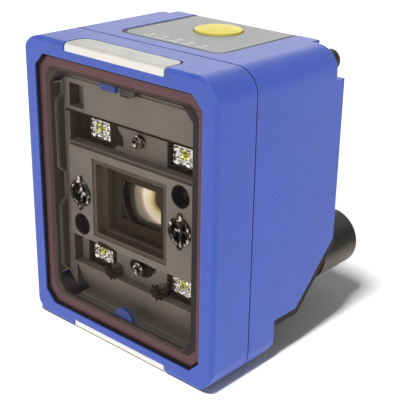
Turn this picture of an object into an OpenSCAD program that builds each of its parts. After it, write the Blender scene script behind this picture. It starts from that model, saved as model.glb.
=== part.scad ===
// Fixed code reader: a compact imaging reader in a two-piece cast housing.
// Millimetres. Lengths are first set out from the middle of the front face's lower edge
// (x right, y from the front to the back, z up), then moved so that the origin is the
// middle of the four mounting holes in the back.

/* [Housing] */
// Width of the housing, side to side
body_w = 65; // [65:0.5:74]
// Height of the housing
body_h = 78; // [77:0.5:88]
// Depth from the front face to the back
body_d = 47.8; // [47.8:0.2:54]
// Depth of the front frame, up to the seam
seam_y = 13.8; // [13.8:0.1:14.4]
// Radius of the four long corners
corner_r = 6.2; // [5.4:0.2:7]
// Rounding round the front face
edge_r = 1.2; // [0.8:0.1:1.6]
// Wall of the rear housing
wall = 2.4; // [2.2:0.1:2.6]
// Wall of the front frame
frame_wall = 3.4; // [3.2:0.1:3.6]
// Thickness of the roof, which carries the key panel
roof = 3; // [2.8:0.1:3.4]
// Depth of the foot, from the front to its rear wall
foot_d = 23.8; // [23.4:0.2:25]
// Height of the shelf behind the foot
shelf_z = 11.2; // [10.8:0.2:12]
// Where the sloping connector face starts, from the front
ramp_y = 32.7; // [32.7:0.1:33.5]
// Size of the two upper rear screw pockets
pocket = 8.2; // [7.8:0.2:8.6]
// Depth of the screw pockets
pocket_d = 3.3; // [3.1:0.1:3.6]

/* [Window] */
// Frame left round the window opening
window_margin = 4.2; // [4:0.1:4.6]
// Cut corner of the window opening
window_cut = 3.2; // [2.6:0.2:4]
// Gap round the pane
pane_gap = 0.4; // [0.3:0.05:0.6]
// Thickness of the pane
pane_t = 1.2; // [1:0.1:1.6]
// Thickness of the pane's sealing strip
strip_t = 0.8; // [0.6:0.1:1]
// Width of the pane's sealing strip
strip_w = 3.4; // [3:0.1:3.6]

/* [Light bars] */
// Length of each light bar
bar_l = 33.2; // [28:0.4:38]
// Depth of each light bar from the front
bar_d = 7; // [6.4:0.2:7.6]
// Height of each light bar's front face
bar_h = 2.1; // [1.9:0.1:2.2]

/* [Key panel] */
// Width of the key panel
pad_w = 35; // [33:0.5:38]
// Where the key panel starts, from the front
pad_y = 17.8; // [17.4:0.2:18.6]
// Radius of the button
button_r = 6.2; // [5.8:0.1:6.6]
// Travel of the button
button_travel = 0.8; // [0.5:0.1:0.9]
// Number of status lights
status_count = 5; // [3:1:6]

/* [Optics] */
// Lens axis below the middle of the housing
optic_drop = 1.5; // [1:0.1:2]
// Lighting lens offset sideways from the lens axis
led_x = 14.7; // [14:0.1:15.2]
// Lighting lens offset up and down from the lens axis
led_z = 17.3; // [16.8:0.1:17.6]
// Aiming unit offset sideways from the lens axis
aimer_x = 17.7; // [17.6:0.1:18]
// Spot light offset up and down from the lens axis
spot_z = 8.9; // [8.7:0.1:9]
// Radius of the lens barrel
barrel_r = 9.2; // [8.8:0.1:9.4]

/* [Connectors] */
// Connector axis in from the side of the housing
plug_inset = 12; // [11.5:0.5:13]
// Outer radius of the connector sleeve
sleeve_r = 8.2; // [7.8:0.1:8.4]
// Length of the connector sleeve
sleeve_l = 15.8; // [15:0.2:17]
// Contacts in each connector
contact_count = 8; // [5:1:8]

/* [Mounting] */
// Spacing of the mounting holes across the back
mount_dx = 40; // [36:1:42]
// Spacing of the mounting holes up the back
mount_dz = 30; // [26:1:32]
// Radius of the mounting thread
mount_r = 2; // [1.5:0.5:2]
// Depth of the mounting thread
mount_depth = 6; // [5:0.5:6.5]

/* [Hidden] */
$fn = 64;
eps = 0.01;
half_w = body_w / 2;
optic_z = body_h / 2 - optic_drop;

// Clearances
fit = 0.03;
run = 0.05;
face_run = 0.1;
free = 0.3;

// Window stack, front to back
pane_y = 0.15;
strip_y = pane_y + pane_t;
ledge_y = strip_y + strip_t;
ledge_t = 1;
ledge_back = ledge_y + ledge_t;
window_w = body_w - 2 * window_margin;
window_h = body_h - 2 * window_margin;
ledge_w = 3.2;
rim_d = 2.8;
rim_back = 0.5;
plate_y = ledge_back + rim_d;
sight_w = window_w - 2 * ledge_w;
sight_h = window_h - 2 * ledge_w;
strip_gap = 0.5;
tab_w = 5;
tab_h = 2.6;
tab_x = -4;
tongue_r = 3.4;
post_inset = 0.9;
post_short = 0.35;
corner_post_r = 2.2;

// Light bars
bar_end_gap = 0.5;
bar_corner = 2.4;
strip_board_t = 0.8;
strip_board_w = 3.2;
strip_board_l = bar_l - 8;
strip_board_y = bar_d - strip_board_w - 1.6;

// Rear housing
back_wall = 2.6;
ramp_rise = body_d - ramp_y;
ramp_top = shelf_z + ramp_rise;
foot_r = 4;
seam_gap = 0.45;
seam_groove = 0.6;
seal_w = 1.1;
seal_inset = 1.25;
seal_d = 0.8;
pocket_y = body_d - pocket_d;
column = pocket + 1.6;

// Housing screws
screw_r = 1.5;
screw_head_r = 2.75;
screw_head_h = 3;
screw_hex = 1.3;
screw_grip = 7;
upper_x = half_w - 4.2;
upper_z = body_h - 4.2;
lower_x = half_w - 6.4;
lower_z = 6.65;
boss_r = 3.4;

// Key panel, button and key board
pad_recess = 1.2;
pad_low = 0.1;
pad_r = 4;
pad_gap = 0.15;
button_y = body_d - 10.6;
well_floor = body_h - 4.3;
well_boss = body_h - 6.3;
cap_low = well_floor + button_travel + 0.5;
cap_side = body_h + 0.4;
dome_h = 0.8;
dome_curve = (button_r * button_r + dome_h * dome_h) / (2 * dome_h);
stem_r = 2;
stem_end = well_boss - 2.4;
stem_neck = 1.5;
clip_t = 0.8;
clip_r = 3.2;
clip_top = well_boss - run;
plunger_r = 1.4;
plunger_l = 2;
switch_w = 6;
switch_top = stem_end - button_travel - 0.2;
switch_h = 3.4;
key_top = switch_top - switch_h;
board_t = 1.4;
key_w = 28;
key_front = pad_y + 2.5;
key_back = body_d - 4.4;
post_r = 2;
screw_bite = 3.2;
key_post_x = 11.5;
key_post_front = key_front + 6;
key_post_back = key_back - 2.4;
status_y = key_front + 2.2;
status_pitch = 4.4;
status_r = 0.9;
status_chip = 0.8;

// Illuminator, front to back
block_y = plate_y - 1.4;
trough_y = plate_y + 3;
tray_back = trough_y + 2;
led_board_back = tray_back + board_t;
tray_w = body_w - 2 * frame_wall - 1.2;
tray_h = body_h - 2 * frame_wall - 3.4;
tray_cut = 10;
block_w = sight_w - 6.2;
brow_w = sight_w - 3.2;
block_h = 25;
trough_h = 8.6;
brow_z = optic_z + led_z + trough_h / 2;
brow_h = body_h / 2 + sight_h / 2 - tab_h - 0.6 - brow_z;
chin_z = optic_z - led_z - trough_h / 2;
aperture_w = 26.4;
aperture_h = 21.4;
aperture_wall = 1.2;
aperture_step = 1.6;
led_lens_w = 8.2;
led_lens_h = 6.4;
led_hole_gap = 0.7;
chip_t = 1.2;
chip_w = 3.2;
lens_front = plate_y + 1;
led_board_w = 48;
led_board_h = 46;
aimer_r = 3.7;
spot_r = 3;
small_r = 1.2;
small_head_r = 1.8;
small_head_h = 1.4;
frame_screw_z = led_z;
rib_z = 14.3;
rib_l = 20.5;
rib_t = 0.9;
nut_x = 8.5;
nut_drop = 20.2;
nut_r = 2.4;
nut_waist = 1.4;
nut_t = 0.5;
nut_points = 8;
nut_seat = plate_y + 0.2;
slot_l = 5.4;
slot_h = 2.9;
slot_floor = 0.6;
brow_hole_w = 5.4;
pin_r = 0.9;

// Carrier, lens and board stack
carrier_w = 46;
carrier_h = 46;
carrier_t = 3;
carrier_back = led_board_back + carrier_t;
lens_tube_r = barrel_r + 2.4;
lens_r = barrel_r - 1;
barrel_y = tray_back + 0.8;
barrel_end_gap = 4.1;
lens_seat = barrel_y + 4;
lens_t = 2;
lens_curve = 11;
lens_dome_r = lens_r - 1.3;
lens_bulge = lens_curve - sqrt(lens_curve * lens_curve - lens_dome_r * lens_dome_r);
ring_t = 1;
stack_x = 16.5;
spacer_r = 2.2;
spacer_l = 5.6;
spacer_stud = 2.4;
spacer_bore = 6;
cpu_back_gap = 3.55;
cpu_back = body_d - mount_depth - 1 - cpu_back_gap;
cpu_y = cpu_back - board_t;
sensor_back = cpu_y - spacer_l;
sensor_y = sensor_back - board_t;
board_edge = 3.5;
cpu_low = shelf_z + body_d - ramp_y + 4.7;
cpu_high = key_top - board_t - 2;
cpu_board_w = 48;
stack_low = cpu_low + board_edge;
stack_dz = 15;
stack_high = stack_low + stack_dz;
sensor_reach = 8;
sensor_low = min(optic_z - sensor_reach, stack_low - board_edge);
sensor_high = stack_high + board_edge;
sensor_board_w = 42;
sensor_w = 9;
sensor_h = 7;
sensor_t = 1.4;
cpu_w = 14;
cpu_t = 1.6;
cpu_z = cpu_high - 9.5;
pad_t = 1.2;
heat_y = cpu_back + cpu_t + pad_t;

// Connector panel and swivels
plug_x = half_w - plug_inset;
panel_t = 1.8;
panel_side = 0.1;
ramp_mid_y = ramp_y + ramp_rise / 2 + panel_t * sqrt(0.5);
ramp_mid_z = shelf_z + ramp_rise / 2 - panel_t * sqrt(0.5);
collar_r = sleeve_r - 0.6;
collar_l = 8.4;
neck_r = sleeve_r - 1.5;
neck_l = 0.7;
sleeve_s = collar_l + neck_l;
sleeve_end = sleeve_s + sleeve_l;
spigot_l = 5;
thread_r = 6;
insert_s = sleeve_s + spigot_l;
insert_core_r = 4.2;
insert_stem_r = 5;
insert_flange = 1.5;
core_end = sleeve_end - 5.2;
contact_ring = 2.75;
contact_r = 0.5;
stub_r = 5;
wire_r = 3.2;
stub_in = panel_t + wall + 3;
swivel_clip_r = 6.6;
swivel_neck = 4.2;
seal_cord = 1;
seal_z = -panel_t - 0.7;
swivel_clip_z = -panel_t - wall - face_run;
panel_screw_x = 4.4;
panel_screw_t = 6.4;
interface_z = -stub_in - 2.2;
interface_w = 52;
interface_h = 13;
interface_post_gap = 2.9;
interface_post_x = plug_x - swivel_clip_r - interface_post_gap;
interface_post_t = 4.3;

// Mounting
mount_z = body_h - 26;
mount_boss_r = mount_r + 2;
mount_boss_l = mount_depth + 1;

BLUE = [0.24, 0.33, 0.70];
BLACK = [0.06, 0.06, 0.07];
DARK = [0.20, 0.19, 0.18];
GREY = [0.50, 0.48, 0.46];
PANEL_GREY = [0.62, 0.63, 0.62];
WHITE = [0.93, 0.92, 0.88];
YELLOW = [0.97, 0.86, 0.25];
GLASS = [0.75, 0.80, 0.82];
MAUVE = [0.42, 0.32, 0.34];
BOARD = [0.10, 0.32, 0.20];
STEEL = [0.62, 0.62, 0.64];
GOLD = [0.80, 0.66, 0.30];

// Moves a piece from the front lower edge to the middle of the mounting holes.
module placed() translate([0, -body_d, -mount_z]) children();

// Extrudes an outline drawn in x and z from one depth to another.
module from_to(y0, y1) translate([0, y1, 0]) rotate([90, 0, 0]) linear_extrude(y1 - y0) children();

// Extrudes an outline drawn in y and z over a width about the middle.
module across(w) translate([-w / 2, 0, 0]) rotate([90, 0, 90]) linear_extrude(w) children();

// A cylinder along the depth, at x and z.
module rod(x, z, r, y0, y1) translate([x, y0, z]) rotate([-90, 0, 0]) cylinder(r = r, h = y1 - y0);

// A box given by its least and greatest corners.
module box(lo, hi) translate(lo) cube(hi - lo);

// A cylinder between two heights.
module post(r, z0, z1) translate([0, 0, z0]) cylinder(r = r, h = z1 - z0);

// A ring standing on its own z axis.
module ring(r_out, r_in, z0, z1) difference() {
    post(r_out, z0, z1);
    post(r_in, z0 - 1, z1 + 1);
}

// A piece and its mirror image on the other side.
module sides() {
    children();
    mirror([1, 0, 0]) children();
}

// A piece turned over from the top of the housing to the bottom.
module upside_down() translate([0, 0, body_h]) mirror([0, 0, 1]) children();

// A rectangle with round corners, from z0 to z1.
module round_rect(w, z0, z1, r) {
    translate([-w / 2, z0 + r]) square([w, z1 - z0 - 2 * r]);
    translate([-w / 2 + r, z0]) square([w - 2 * r, z1 - z0]);
    for (x = [-w / 2 + r, w / 2 - r], z = [z0 + r, z1 - r]) translate([x, z]) circle(r);
}

// A rectangle with cut corners, about the window's middle.
module cut_rect(w, h, c) translate([0, body_h / 2]) polygon([
    [-w / 2 + c, -h / 2], [w / 2 - c, -h / 2], [w / 2, -h / 2 + c], [w / 2, h / 2 - c],
    [w / 2 - c, h / 2], [-w / 2 + c, h / 2], [-w / 2, h / 2 - c], [-w / 2, -h / 2 + c]]);

// A rectangle about the lens axis.
module optic_rect(w, h, dz = 0) translate([-w / 2, optic_z + dz - h / 2]) square([w, h]);

// The front frame's plan and side outline: a rectangle rounded at the front only.
module front_rounded(u0, u1) {
    translate([edge_r, u0]) square([seam_y - edge_r, u1 - u0]);
    translate([0, u0 + edge_r]) square([seam_y, u1 - u0 - 2 * edge_r]);
    for (u = [u0 + edge_r, u1 - edge_r]) translate([edge_r, u]) circle(edge_r);
}

// The rear housing's side outline: foot, shelf, sloping connector face and back.
module rear_side() difference() {
    polygon([[seam_y, 0], [foot_d, 0], [foot_d, shelf_z], [ramp_y, shelf_z], [body_d, ramp_top],
        [body_d, body_h], [seam_y, body_h]]);
    difference() {
        translate([foot_d - foot_r, -eps]) square([foot_r + eps, foot_r + eps]);
        translate([foot_d - foot_r, foot_r]) circle(foot_r);
    }
}

// The same outline one wall further in.
module rear_side_inner() polygon([[seam_y - 1, wall], [foot_d - wall, wall],
    [foot_d - wall, shelf_z + wall], [ramp_y - wall * (sqrt(2) - 1), shelf_z + wall],
    [body_d - back_wall, ramp_top - back_wall + wall * sqrt(2)],
    [body_d - back_wall, body_h - roof], [seam_y - 1, body_h - roof]]);

// Local frame on the slope: origin in the panel's outer face, z straight out.
module on_ramp(x) translate([x, ramp_mid_y, ramp_mid_z]) rotate([-135, 0, 0]) children();

// Turns a piece of the local frame to lie along the connector, which points straight back.
module along_plug() rotate([45, 0, 0]) children();

// Positions that more than one piece shares.
module stack_points() for (x = [-stack_x, stack_x], z = [stack_low, stack_high])
    translate([x, 0, z]) children();
module key_points() for (x = [-key_post_x, key_post_x], y = [key_post_front, key_post_back])
    translate([x, y, 0]) children();
module interface_points() for (x = [-interface_post_x, interface_post_x],
    t = [-interface_post_t, interface_post_t]) translate([x, t, 0]) children();
module panel_points() for (x = [-panel_screw_x, panel_screw_x], t = [-panel_screw_t, panel_screw_t])
    translate([x, t, 0]) children();
module status_points() for (i = [0 : status_count - 1])
    translate([(i - (status_count - 1) / 2) * status_pitch, status_y, 0]) children();
module led_points() for (x = [-led_x, led_x], z = [optic_z - led_z, optic_z + led_z])
    translate([x, 0, z]) children();
module contact_points() for (i = [0 : contact_count - 1])
    rotate([0, 0, 360 / contact_count * i]) translate([contact_ring, 0, 0]) children();
module tray_screw_rods(r, y0, y1) for (z = [-frame_screw_z, frame_screw_z]) rod(0, optic_z + z, r, y0, y1);
module nut_rods(r, y0, y1) sides() rod(nut_x, optic_z - nut_drop, r, y0, y1);
module corner_posts(r, y0, y1) sides()
    for (z = [body_h / 2 - sight_h / 2 + post_inset, body_h / 2 + sight_h / 2 - post_inset])
        rod(sight_w / 2 - post_inset, z, r, y0, y1);
module mount_rods(r, y0, y1) for (x = [-mount_dx / 2, mount_dx / 2], z = [-mount_dz / 2, mount_dz / 2])
    rod(x, mount_z + z, r, y0, y1);
module upper_rods(r, y0, y1) sides() rod(upper_x, upper_z, r, y0, y1);
module lower_rods(r, y0, y1) sides() rod(lower_x, lower_z, r, y0, y1);
module aimer_rods(r, y0, y1) for (x = [-aimer_x, aimer_x]) rod(x, optic_z, r, y0, y1);
module spot_rods(r, y0, y1) for (s = [-1, 1]) rod(s * aimer_x, optic_z + s * spot_z, r, y0, y1);

// A light bar's outline from above, its rear corners rounded.
module bar_plan(l, d, r) {
    translate([-l / 2, -1]) square([l, d - r + 1]);
    translate([-l / 2 + r, -1]) square([l - 2 * r, d + 1]);
    for (x = [-l / 2 + r, l / 2 - r]) translate([x, d - r]) circle(r);
}

// The upper bar's notch, light strip and bar; the lower ones are turned over.
module bar_notch() translate([0, 0, body_h - bar_h]) linear_extrude(bar_h + 1)
    bar_plan(bar_l + 2 * bar_end_gap, bar_d + free, bar_corner);

module bar_led_strip(grow) box(
    [-strip_board_l / 2 - grow, strip_board_y - grow, body_h - bar_h - grow],
    [strip_board_l / 2 + grow, strip_board_y + strip_board_w + grow, body_h - bar_h + strip_board_t]);

module light_bar() difference() {
    intersection() {
        translate([0, 0, body_h - bar_h]) linear_extrude(bar_h) bar_plan(bar_l, bar_d, bar_corner);
        across(body_w) front_rounded(0, body_h);
    }
    bar_led_strip(free);
}

// The sealing cord of the seam, which fills a groove in the rear housing.
module seam_cord(front) difference() {
    from_to(front, seam_y + seal_d) round_rect(body_w - 2 * seal_inset + seal_w, seal_inset - seal_w / 2,
        body_h - seal_inset + seal_w / 2, corner_r - seal_inset + seal_w / 2);
    from_to(front - 1, seam_y + seal_d + 1) round_rect(body_w - 2 * seal_inset - seal_w,
        seal_inset + seal_w / 2, body_h - seal_inset - seal_w / 2, corner_r - seal_inset - seal_w / 2);
}

// The key panel's outline from above, open to the back.
module pad_plan(grow, past) {
    w = pad_w + 2 * grow;
    y0 = pad_y - grow;
    translate([-w / 2, y0 + pad_r]) square([w, body_d + past - y0 - pad_r]);
    translate([-w / 2 + pad_r, y0]) square([w - 2 * pad_r, body_d + past - y0]);
    for (x = [-w / 2 + pad_r, w / 2 - pad_r]) translate([x, y0 + pad_r]) circle(pad_r);
}

// A socket-head housing screw, its head on the face at depth y.
module housing_screw(x, z, y, tip) difference() {
    union() {
        rod(x, z, screw_head_r, y, y + screw_head_h);
        rod(x, z, screw_r, tip, y + 1);
    }
    translate([x, y + screw_head_h - screw_hex, z]) rotate([-90, 0, 0])
        cylinder(r = screw_hex, h = screw_hex + 1, $fn = 6);
}

// A small pan-head screw: head below the origin, shank upwards.
module small_screw(shank) difference() {
    union() {
        post(small_head_r, -small_head_h, 0);
        post(small_r, -1, shank);
    }
    for (a = [0, 90]) rotate([0, 0, a])
        box([-1.3, -0.3, -small_head_h - 1], [1.3, 0.3, -small_head_h + 0.7]);
}

// Front frame: one casting with the window seat, light-bar notches, posts, tabs and screw bosses.
module front_bezel() color(BLUE) placed() difference() {
    union() {
        difference() {
            intersection() {
                from_to(0, seam_y) round_rect(body_w, 0, body_h, corner_r);
                linear_extrude(body_h) mirror([1, -1]) front_rounded(-half_w, half_w);
                across(body_w) front_rounded(0, body_h);
            }
            from_to(-1, ledge_y) cut_rect(window_w, window_h, window_cut);
            from_to(ledge_y - 1, ledge_back + 1) cut_rect(sight_w, sight_h, window_cut);
            difference() {
                from_to(ledge_back, seam_y + 1) round_rect(body_w - 2 * frame_wall, frame_wall,
                    body_h - frame_wall, corner_r - frame_wall);
                upper_rods(boss_r, ledge_back - 1, seam_y);
                lower_rods(boss_r, ledge_back - 1, seam_y);
            }
        }
        corner_posts(corner_post_r, ledge_y + 0.3, plate_y - post_short);
        box([tab_x - tab_w / 2, ledge_y, body_h / 2 + sight_h / 2 - tab_h],
            [tab_x + tab_w / 2, ledge_back, body_h / 2 + sight_h / 2 + 1]);
        intersection() {
            rod(0, body_h / 2 - sight_h / 2, tongue_r, ledge_y, ledge_back);
            box([-body_w, 0, body_h / 2 - sight_h / 2 - 1], [body_w, seam_y, body_h / 2]);
        }
    }
    bar_notch();
    upside_down() bar_notch();
    upper_rods(screw_r + fit, seam_y - screw_grip - free, seam_y + 1);
    lower_rods(screw_r + fit, seam_y - screw_grip - free, seam_y + 1);
    difference() {
        from_to(seam_y - seam_gap, seam_y + 1) round_rect(body_w + 2, -1, body_h + 1, corner_r);
        from_to(seam_y - seam_gap - 1, seam_y + 2) round_rect(body_w - 2 * seam_groove, seam_groove,
            body_h - seam_groove, corner_r - seam_groove);
    }
}

module window_pane() color(GLASS) placed() from_to(pane_y, strip_y)
    cut_rect(window_w - 2 * pane_gap, window_h - 2 * pane_gap, window_cut);

module window_strip() color(MAUVE) placed() difference() {
    from_to(strip_y, ledge_y) cut_rect(window_w - 2 * strip_gap, window_h - 2 * strip_gap, window_cut);
    from_to(strip_y - 1, ledge_y + 1) cut_rect(window_w - 2 * strip_gap - 2 * strip_w,
        window_h - 2 * strip_gap - 2 * strip_w, window_cut);
}

module top_light_bar() color(WHITE) placed() light_bar();

module bottom_light_bar() color(WHITE) placed() upside_down() light_bar();

module bar_led_strips() color(BOARD) placed() {
    bar_led_strip(0);
    upside_down() bar_led_strip(0);
}

module seam_gasket() color(BLACK) placed() seam_cord(seam_y);

// Rear housing: one casting with the foot, the sloping face, the raised back and its pockets.
module rear_housing() color(BLUE) placed() difference() {
    intersection() {
        from_to(seam_y, body_d) round_rect(body_w, 0, body_h, corner_r);
        across(body_w) rear_side();
    }
    difference() {
        intersection() {
            from_to(seam_y - 1, body_d - back_wall) round_rect(body_w - 2 * wall, wall, body_h - roof,
                corner_r - wall);
            across(body_w) rear_side_inner();
        }
        sides() box([half_w - column, seam_y, body_h - column], [half_w, body_d, body_h]);
        lower_rods(boss_r, seam_y, foot_d);
        mount_rods(mount_boss_r, body_d - mount_boss_l, body_d);
        from_to(heat_y, body_d) translate([0, cpu_z - optic_z]) optic_rect(cpu_w + 2, cpu_w + 2);
        key_points() post(post_r, key_top, body_h);
        translate([0, button_y, 0]) post(button_r + 2.2, well_boss, body_h);
        on_ramp(0) interface_points() post(post_r, interface_z, -panel_t - eps);
    }
    sides() box([half_w - pocket, pocket_y, body_h - pocket], [half_w + 1, body_d + 1, body_h + 1]);
    upper_rods(screw_r + 0.2, seam_y - 1, pocket_y + 1);
    lower_rods(screw_r + 0.2, seam_y - 1, foot_d + 1);
    mount_rods(mount_r, body_d - mount_depth, body_d + 1);
    translate([0, 0, body_h - pad_recess]) linear_extrude(pad_recess + 1) pad_plan(pad_gap, 1);
    translate([0, button_y, 0]) post(button_r + free, well_floor, body_h);
    translate([0, button_y, 0]) post(stem_r + run, well_boss - 1, body_h);
    status_points() post(status_r + fit, body_h - roof - 1, body_h);
    for (x = [-plug_x, plug_x]) on_ramp(x) post(stub_r + run, -panel_t - wall - 1, 1);
    on_ramp(0) panel_points() post(small_r + fit, -panel_t - wall - 1, 1);
    key_points() post(small_r + fit, key_top - 1, key_top + screw_bite + free);
    on_ramp(0) interface_points() post(small_r + fit, interface_z - 1, interface_z + screw_bite + free);
    seam_cord(seam_y - 1);
}

module upper_screws() color(BLACK) placed() sides()
    housing_screw(upper_x, upper_z, pocket_y, seam_y - screw_grip);

module lower_screws() color(BLACK) placed() sides()
    housing_screw(lower_x, lower_z, foot_d, seam_y - screw_grip);

// The tray with its rim, raised middle block, two lamp troughs and sloping chin, but no pins.
module tray_moulding() difference() {
    union() {
        from_to(plate_y, tray_back) cut_rect(tray_w, tray_h, tray_cut);
        difference() {
            from_to(ledge_back, plate_y + 1) cut_rect(tray_w, tray_h, tray_cut);
            from_to(ledge_back - 1, plate_y)
                cut_rect(sight_w + 2 * rim_back, sight_h + 2 * rim_back, window_cut);
            corner_posts(corner_post_r + free, ledge_back - 1, plate_y);
        }
        from_to(block_y, plate_y + 1) optic_rect(block_w, block_h);
        from_to(plate_y - 0.45, plate_y + 1) translate([-brow_w / 2, brow_z]) square([brow_w, brow_h]);
        sides() for (z = [-rib_z, rib_z]) side_rib(optic_z + z);
    }
    for (z = [-led_z, led_z]) from_to(plate_y - 1, trough_y) optic_rect(block_w + 1.6, trough_h, z);
    across(block_w) polygon([[plate_y - 1, chin_z], [plate_y, chin_z],
        [plate_y + 3.2, body_h / 2 - tray_h / 2 + 2], [plate_y - 1, body_h / 2 - tray_h / 2 + 2]]);
    from_to(plate_y - 1, trough_y) translate([-block_w / 2, brow_z + 0.9])
        square([brow_hole_w, brow_h - 2.2]);
    from_to(trough_y - 1, tray_back - slot_floor)
        translate([-led_x + led_lens_w / 2 - 1, optic_z + led_z - slot_h]) square([slot_l, slot_h]);
    from_to(trough_y - 1, tray_back - slot_floor) translate([small_head_r + 0.6, optic_z - led_z])
        square([slot_l / 2, slot_h / 2]);
    from_to(block_y - 1, tray_back + 1) optic_rect(aperture_w, aperture_h);
    led_points() from_to(0, tray_back + 1)
        square([led_lens_w + 2 * led_hole_gap, led_lens_h + 2 * led_hole_gap], center = true);
    aimer_rods(aimer_r + run, block_y - 1, tray_back + 1);
    spot_rods(spot_r, block_y - 1, tray_back + 1);
    tray_screw_rods(small_r + 0.15, trough_y - 1, tray_back + 1);
    nut_rods(nut_r + 0.2, block_y, nut_seat);
}

// Lighting tray: one moulding with two pins for push nuts.
module illuminator_tray() color(GREY) placed() {
    tray_moulding();
    nut_rods(nut_waist + 0.2, nut_seat, trough_y + 1);
    nut_rods(pin_r - fit, nut_seat - nut_t - 0.5, trough_y + 1);
}

// A slim rib on the tray's side wall, its front corners cut.
module side_rib(z) translate([sight_w / 2 + rim_back - rib_t, 0, z]) rotate([90, 0, 90])
    linear_extrude(rib_t + 0.5) polygon([[plate_y + 0.5, -rib_l / 2], [plate_y + 0.5, rib_l / 2],
        [ledge_back + 2, rib_l / 2], [ledge_back + 0.6, rib_l / 2 - 1.6],
        [ledge_back + 0.6, -rib_l / 2 + 1.6], [ledge_back + 2, -rib_l / 2]]);

// A toothed push nut that grips a pin of the tray.
module push_nuts() color(BLACK) placed() difference() {
    sides() translate([nut_x, 0, optic_z - nut_drop]) from_to(nut_seat - nut_t, nut_seat)
        polygon([for (i = [0 : 2 * nut_points - 1]) (i % 2 == 0 ? nut_r : nut_waist)
            * [cos(180 / nut_points * i), sin(180 / nut_points * i)]]);
    nut_rods(pin_r, nut_seat - 2, nut_seat + 1);
}

// A lighting lens: a block over the lamp chip with a domed front.
module led_lens() difference() {
    union() {
        from_to(lens_front, tray_back) square([led_lens_w, led_lens_h], center = true);
        intersection() {
            translate([0, lens_front + 1.8, 0]) sphere(r = 2.9);
            from_to(lens_front - 2, lens_front + 1) square([led_lens_w, led_lens_h - 0.6], center = true);
        }
    }
    from_to(tray_back - chip_t - free, tray_back + 1)
        square([chip_w + 2 * free, chip_w + 2 * free], center = true);
}

module led_lenses() color(GLASS) placed() led_points() led_lens();

module led_chips() color(YELLOW) placed() led_points() from_to(tray_back - chip_t, tray_back)
    square([chip_w, chip_w], center = true);

// An aiming unit: a ring with a cross in its mouth and two ears on the block's face.
module aimers() color(BLACK) placed() for (x = [-aimer_x, aimer_x]) difference() {
    union() {
        rod(x, optic_z, aimer_r, block_y - 0.5, tray_back);
        for (s = [-1, 1]) rod(x, optic_z + s * (aimer_r + 0.3), 0.8, block_y - 0.5, block_y);
    }
    difference() {
        rod(x, optic_z, aimer_r - 0.9, block_y - 1, block_y + 2);
        from_to(block_y, block_y + 3) translate([x - 0.4, optic_z - aimer_r]) square([0.8, 2 * aimer_r]);
        from_to(block_y, block_y + 3) translate([x - aimer_r, optic_z - 0.4]) square([2 * aimer_r, 0.8]);
    }
}

module spot_lights() color(WHITE) placed() for (s = [-1, 1]) {
    rod(s * aimer_x, optic_z + s * spot_z, spot_r - 0.7, tray_back - 2.6, tray_back);
    intersection() {
        translate([s * aimer_x, tray_back - 2.6, optic_z + s * spot_z]) sphere(r = spot_r - 0.7);
        rod(s * aimer_x, optic_z + s * spot_z, spot_r, tray_back - 6, tray_back - 2);
    }
}

// Stepped square hood in front of the lens.
module aperture_frame() color(DARK) placed() difference() {
    from_to(block_y + 0.2, tray_back) optic_rect(aperture_w - 0.2, aperture_h - 0.2);
    from_to(block_y - 1, block_y + 2.6)
        optic_rect(aperture_w - 2 * aperture_wall, aperture_h - 2 * aperture_wall);
    from_to(block_y - 1, block_y + 4.6) optic_rect(aperture_w - 2 * aperture_wall - 2 * aperture_step,
        aperture_h - 2 * aperture_wall - aperture_step);
    rod(0, optic_z, barrel_r + 0.2, block_y + 3, tray_back + 1);
}

module led_board() color(BOARD) placed() difference() {
    from_to(tray_back, led_board_back) optic_rect(led_board_w, led_board_h);
    rod(0, optic_z, barrel_r + 0.6, tray_back - 1, led_board_back + 1);
    tray_screw_rods(small_r + 0.15, tray_back - 1, led_board_back + 1);
}

module tray_screws() color(STEEL) placed() for (z = [-frame_screw_z, frame_screw_z])
    translate([0, trough_y, optic_z + z]) rotate([-90, 0, 0]) small_screw(carrier_back - trough_y - 0.4);

// Carrier: one moulding with the plate behind the lamps and the lens tube.
module optics_carrier() color(DARK) placed() difference() {
    union() {
        from_to(led_board_back, carrier_back) optic_rect(carrier_w, carrier_h);
        rod(0, optic_z, lens_tube_r, led_board_back, sensor_y);
        for (a = [45 : 90 : 315]) translate([0, carrier_back - 1, optic_z]) rotate([0, a, 0])
            box([0, 0, -0.8], [lens_tube_r + 5, 4, 0.8]);
    }
    rod(0, optic_z, barrel_r + fit, led_board_back - 1, sensor_y + 1);
    tray_screw_rods(small_r + fit, led_board_back - 1, carrier_back + 1);
    stack_points() rod(0, 0, small_r + fit, led_board_back - 1, carrier_back + 1);
}

module lens_barrel() color(BLACK) placed() difference() {
    rod(0, optic_z, barrel_r, barrel_y, sensor_y - barrel_end_gap);
    rod(0, optic_z, lens_r, barrel_y - 1, lens_seat);
    rod(0, optic_z, lens_r - 1.1, barrel_y - 1, sensor_y);
}

module lens_glass() color(GLASS) placed() {
    rod(0, optic_z, lens_r - fit, lens_seat - lens_t, lens_seat);
    intersection() {
        rod(0, optic_z, lens_dome_r, lens_seat - lens_t - lens_bulge - 1, lens_seat - lens_t + 0.5);
        translate([0, lens_seat - lens_t - lens_bulge + lens_curve, optic_z]) sphere(r = lens_curve);
    }
}

module lens_ring() color(STEEL) placed() difference() {
    rod(0, optic_z, lens_r - fit, lens_seat - lens_t - ring_t, lens_seat - lens_t);
    rod(0, optic_z, lens_r - 1.1, lens_seat - lens_t - ring_t - 1, lens_seat);
    for (a = [0 : 60 : 120]) translate([0, lens_seat - lens_t - ring_t, optic_z]) rotate([0, a, 0])
        box([-lens_r - 1, -1, -0.6], [lens_r + 1, 0.5, 0.6]);
}

module image_sensor() color(DARK) placed() from_to(sensor_y - sensor_t, sensor_y)
    optic_rect(sensor_w, sensor_h);

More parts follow.
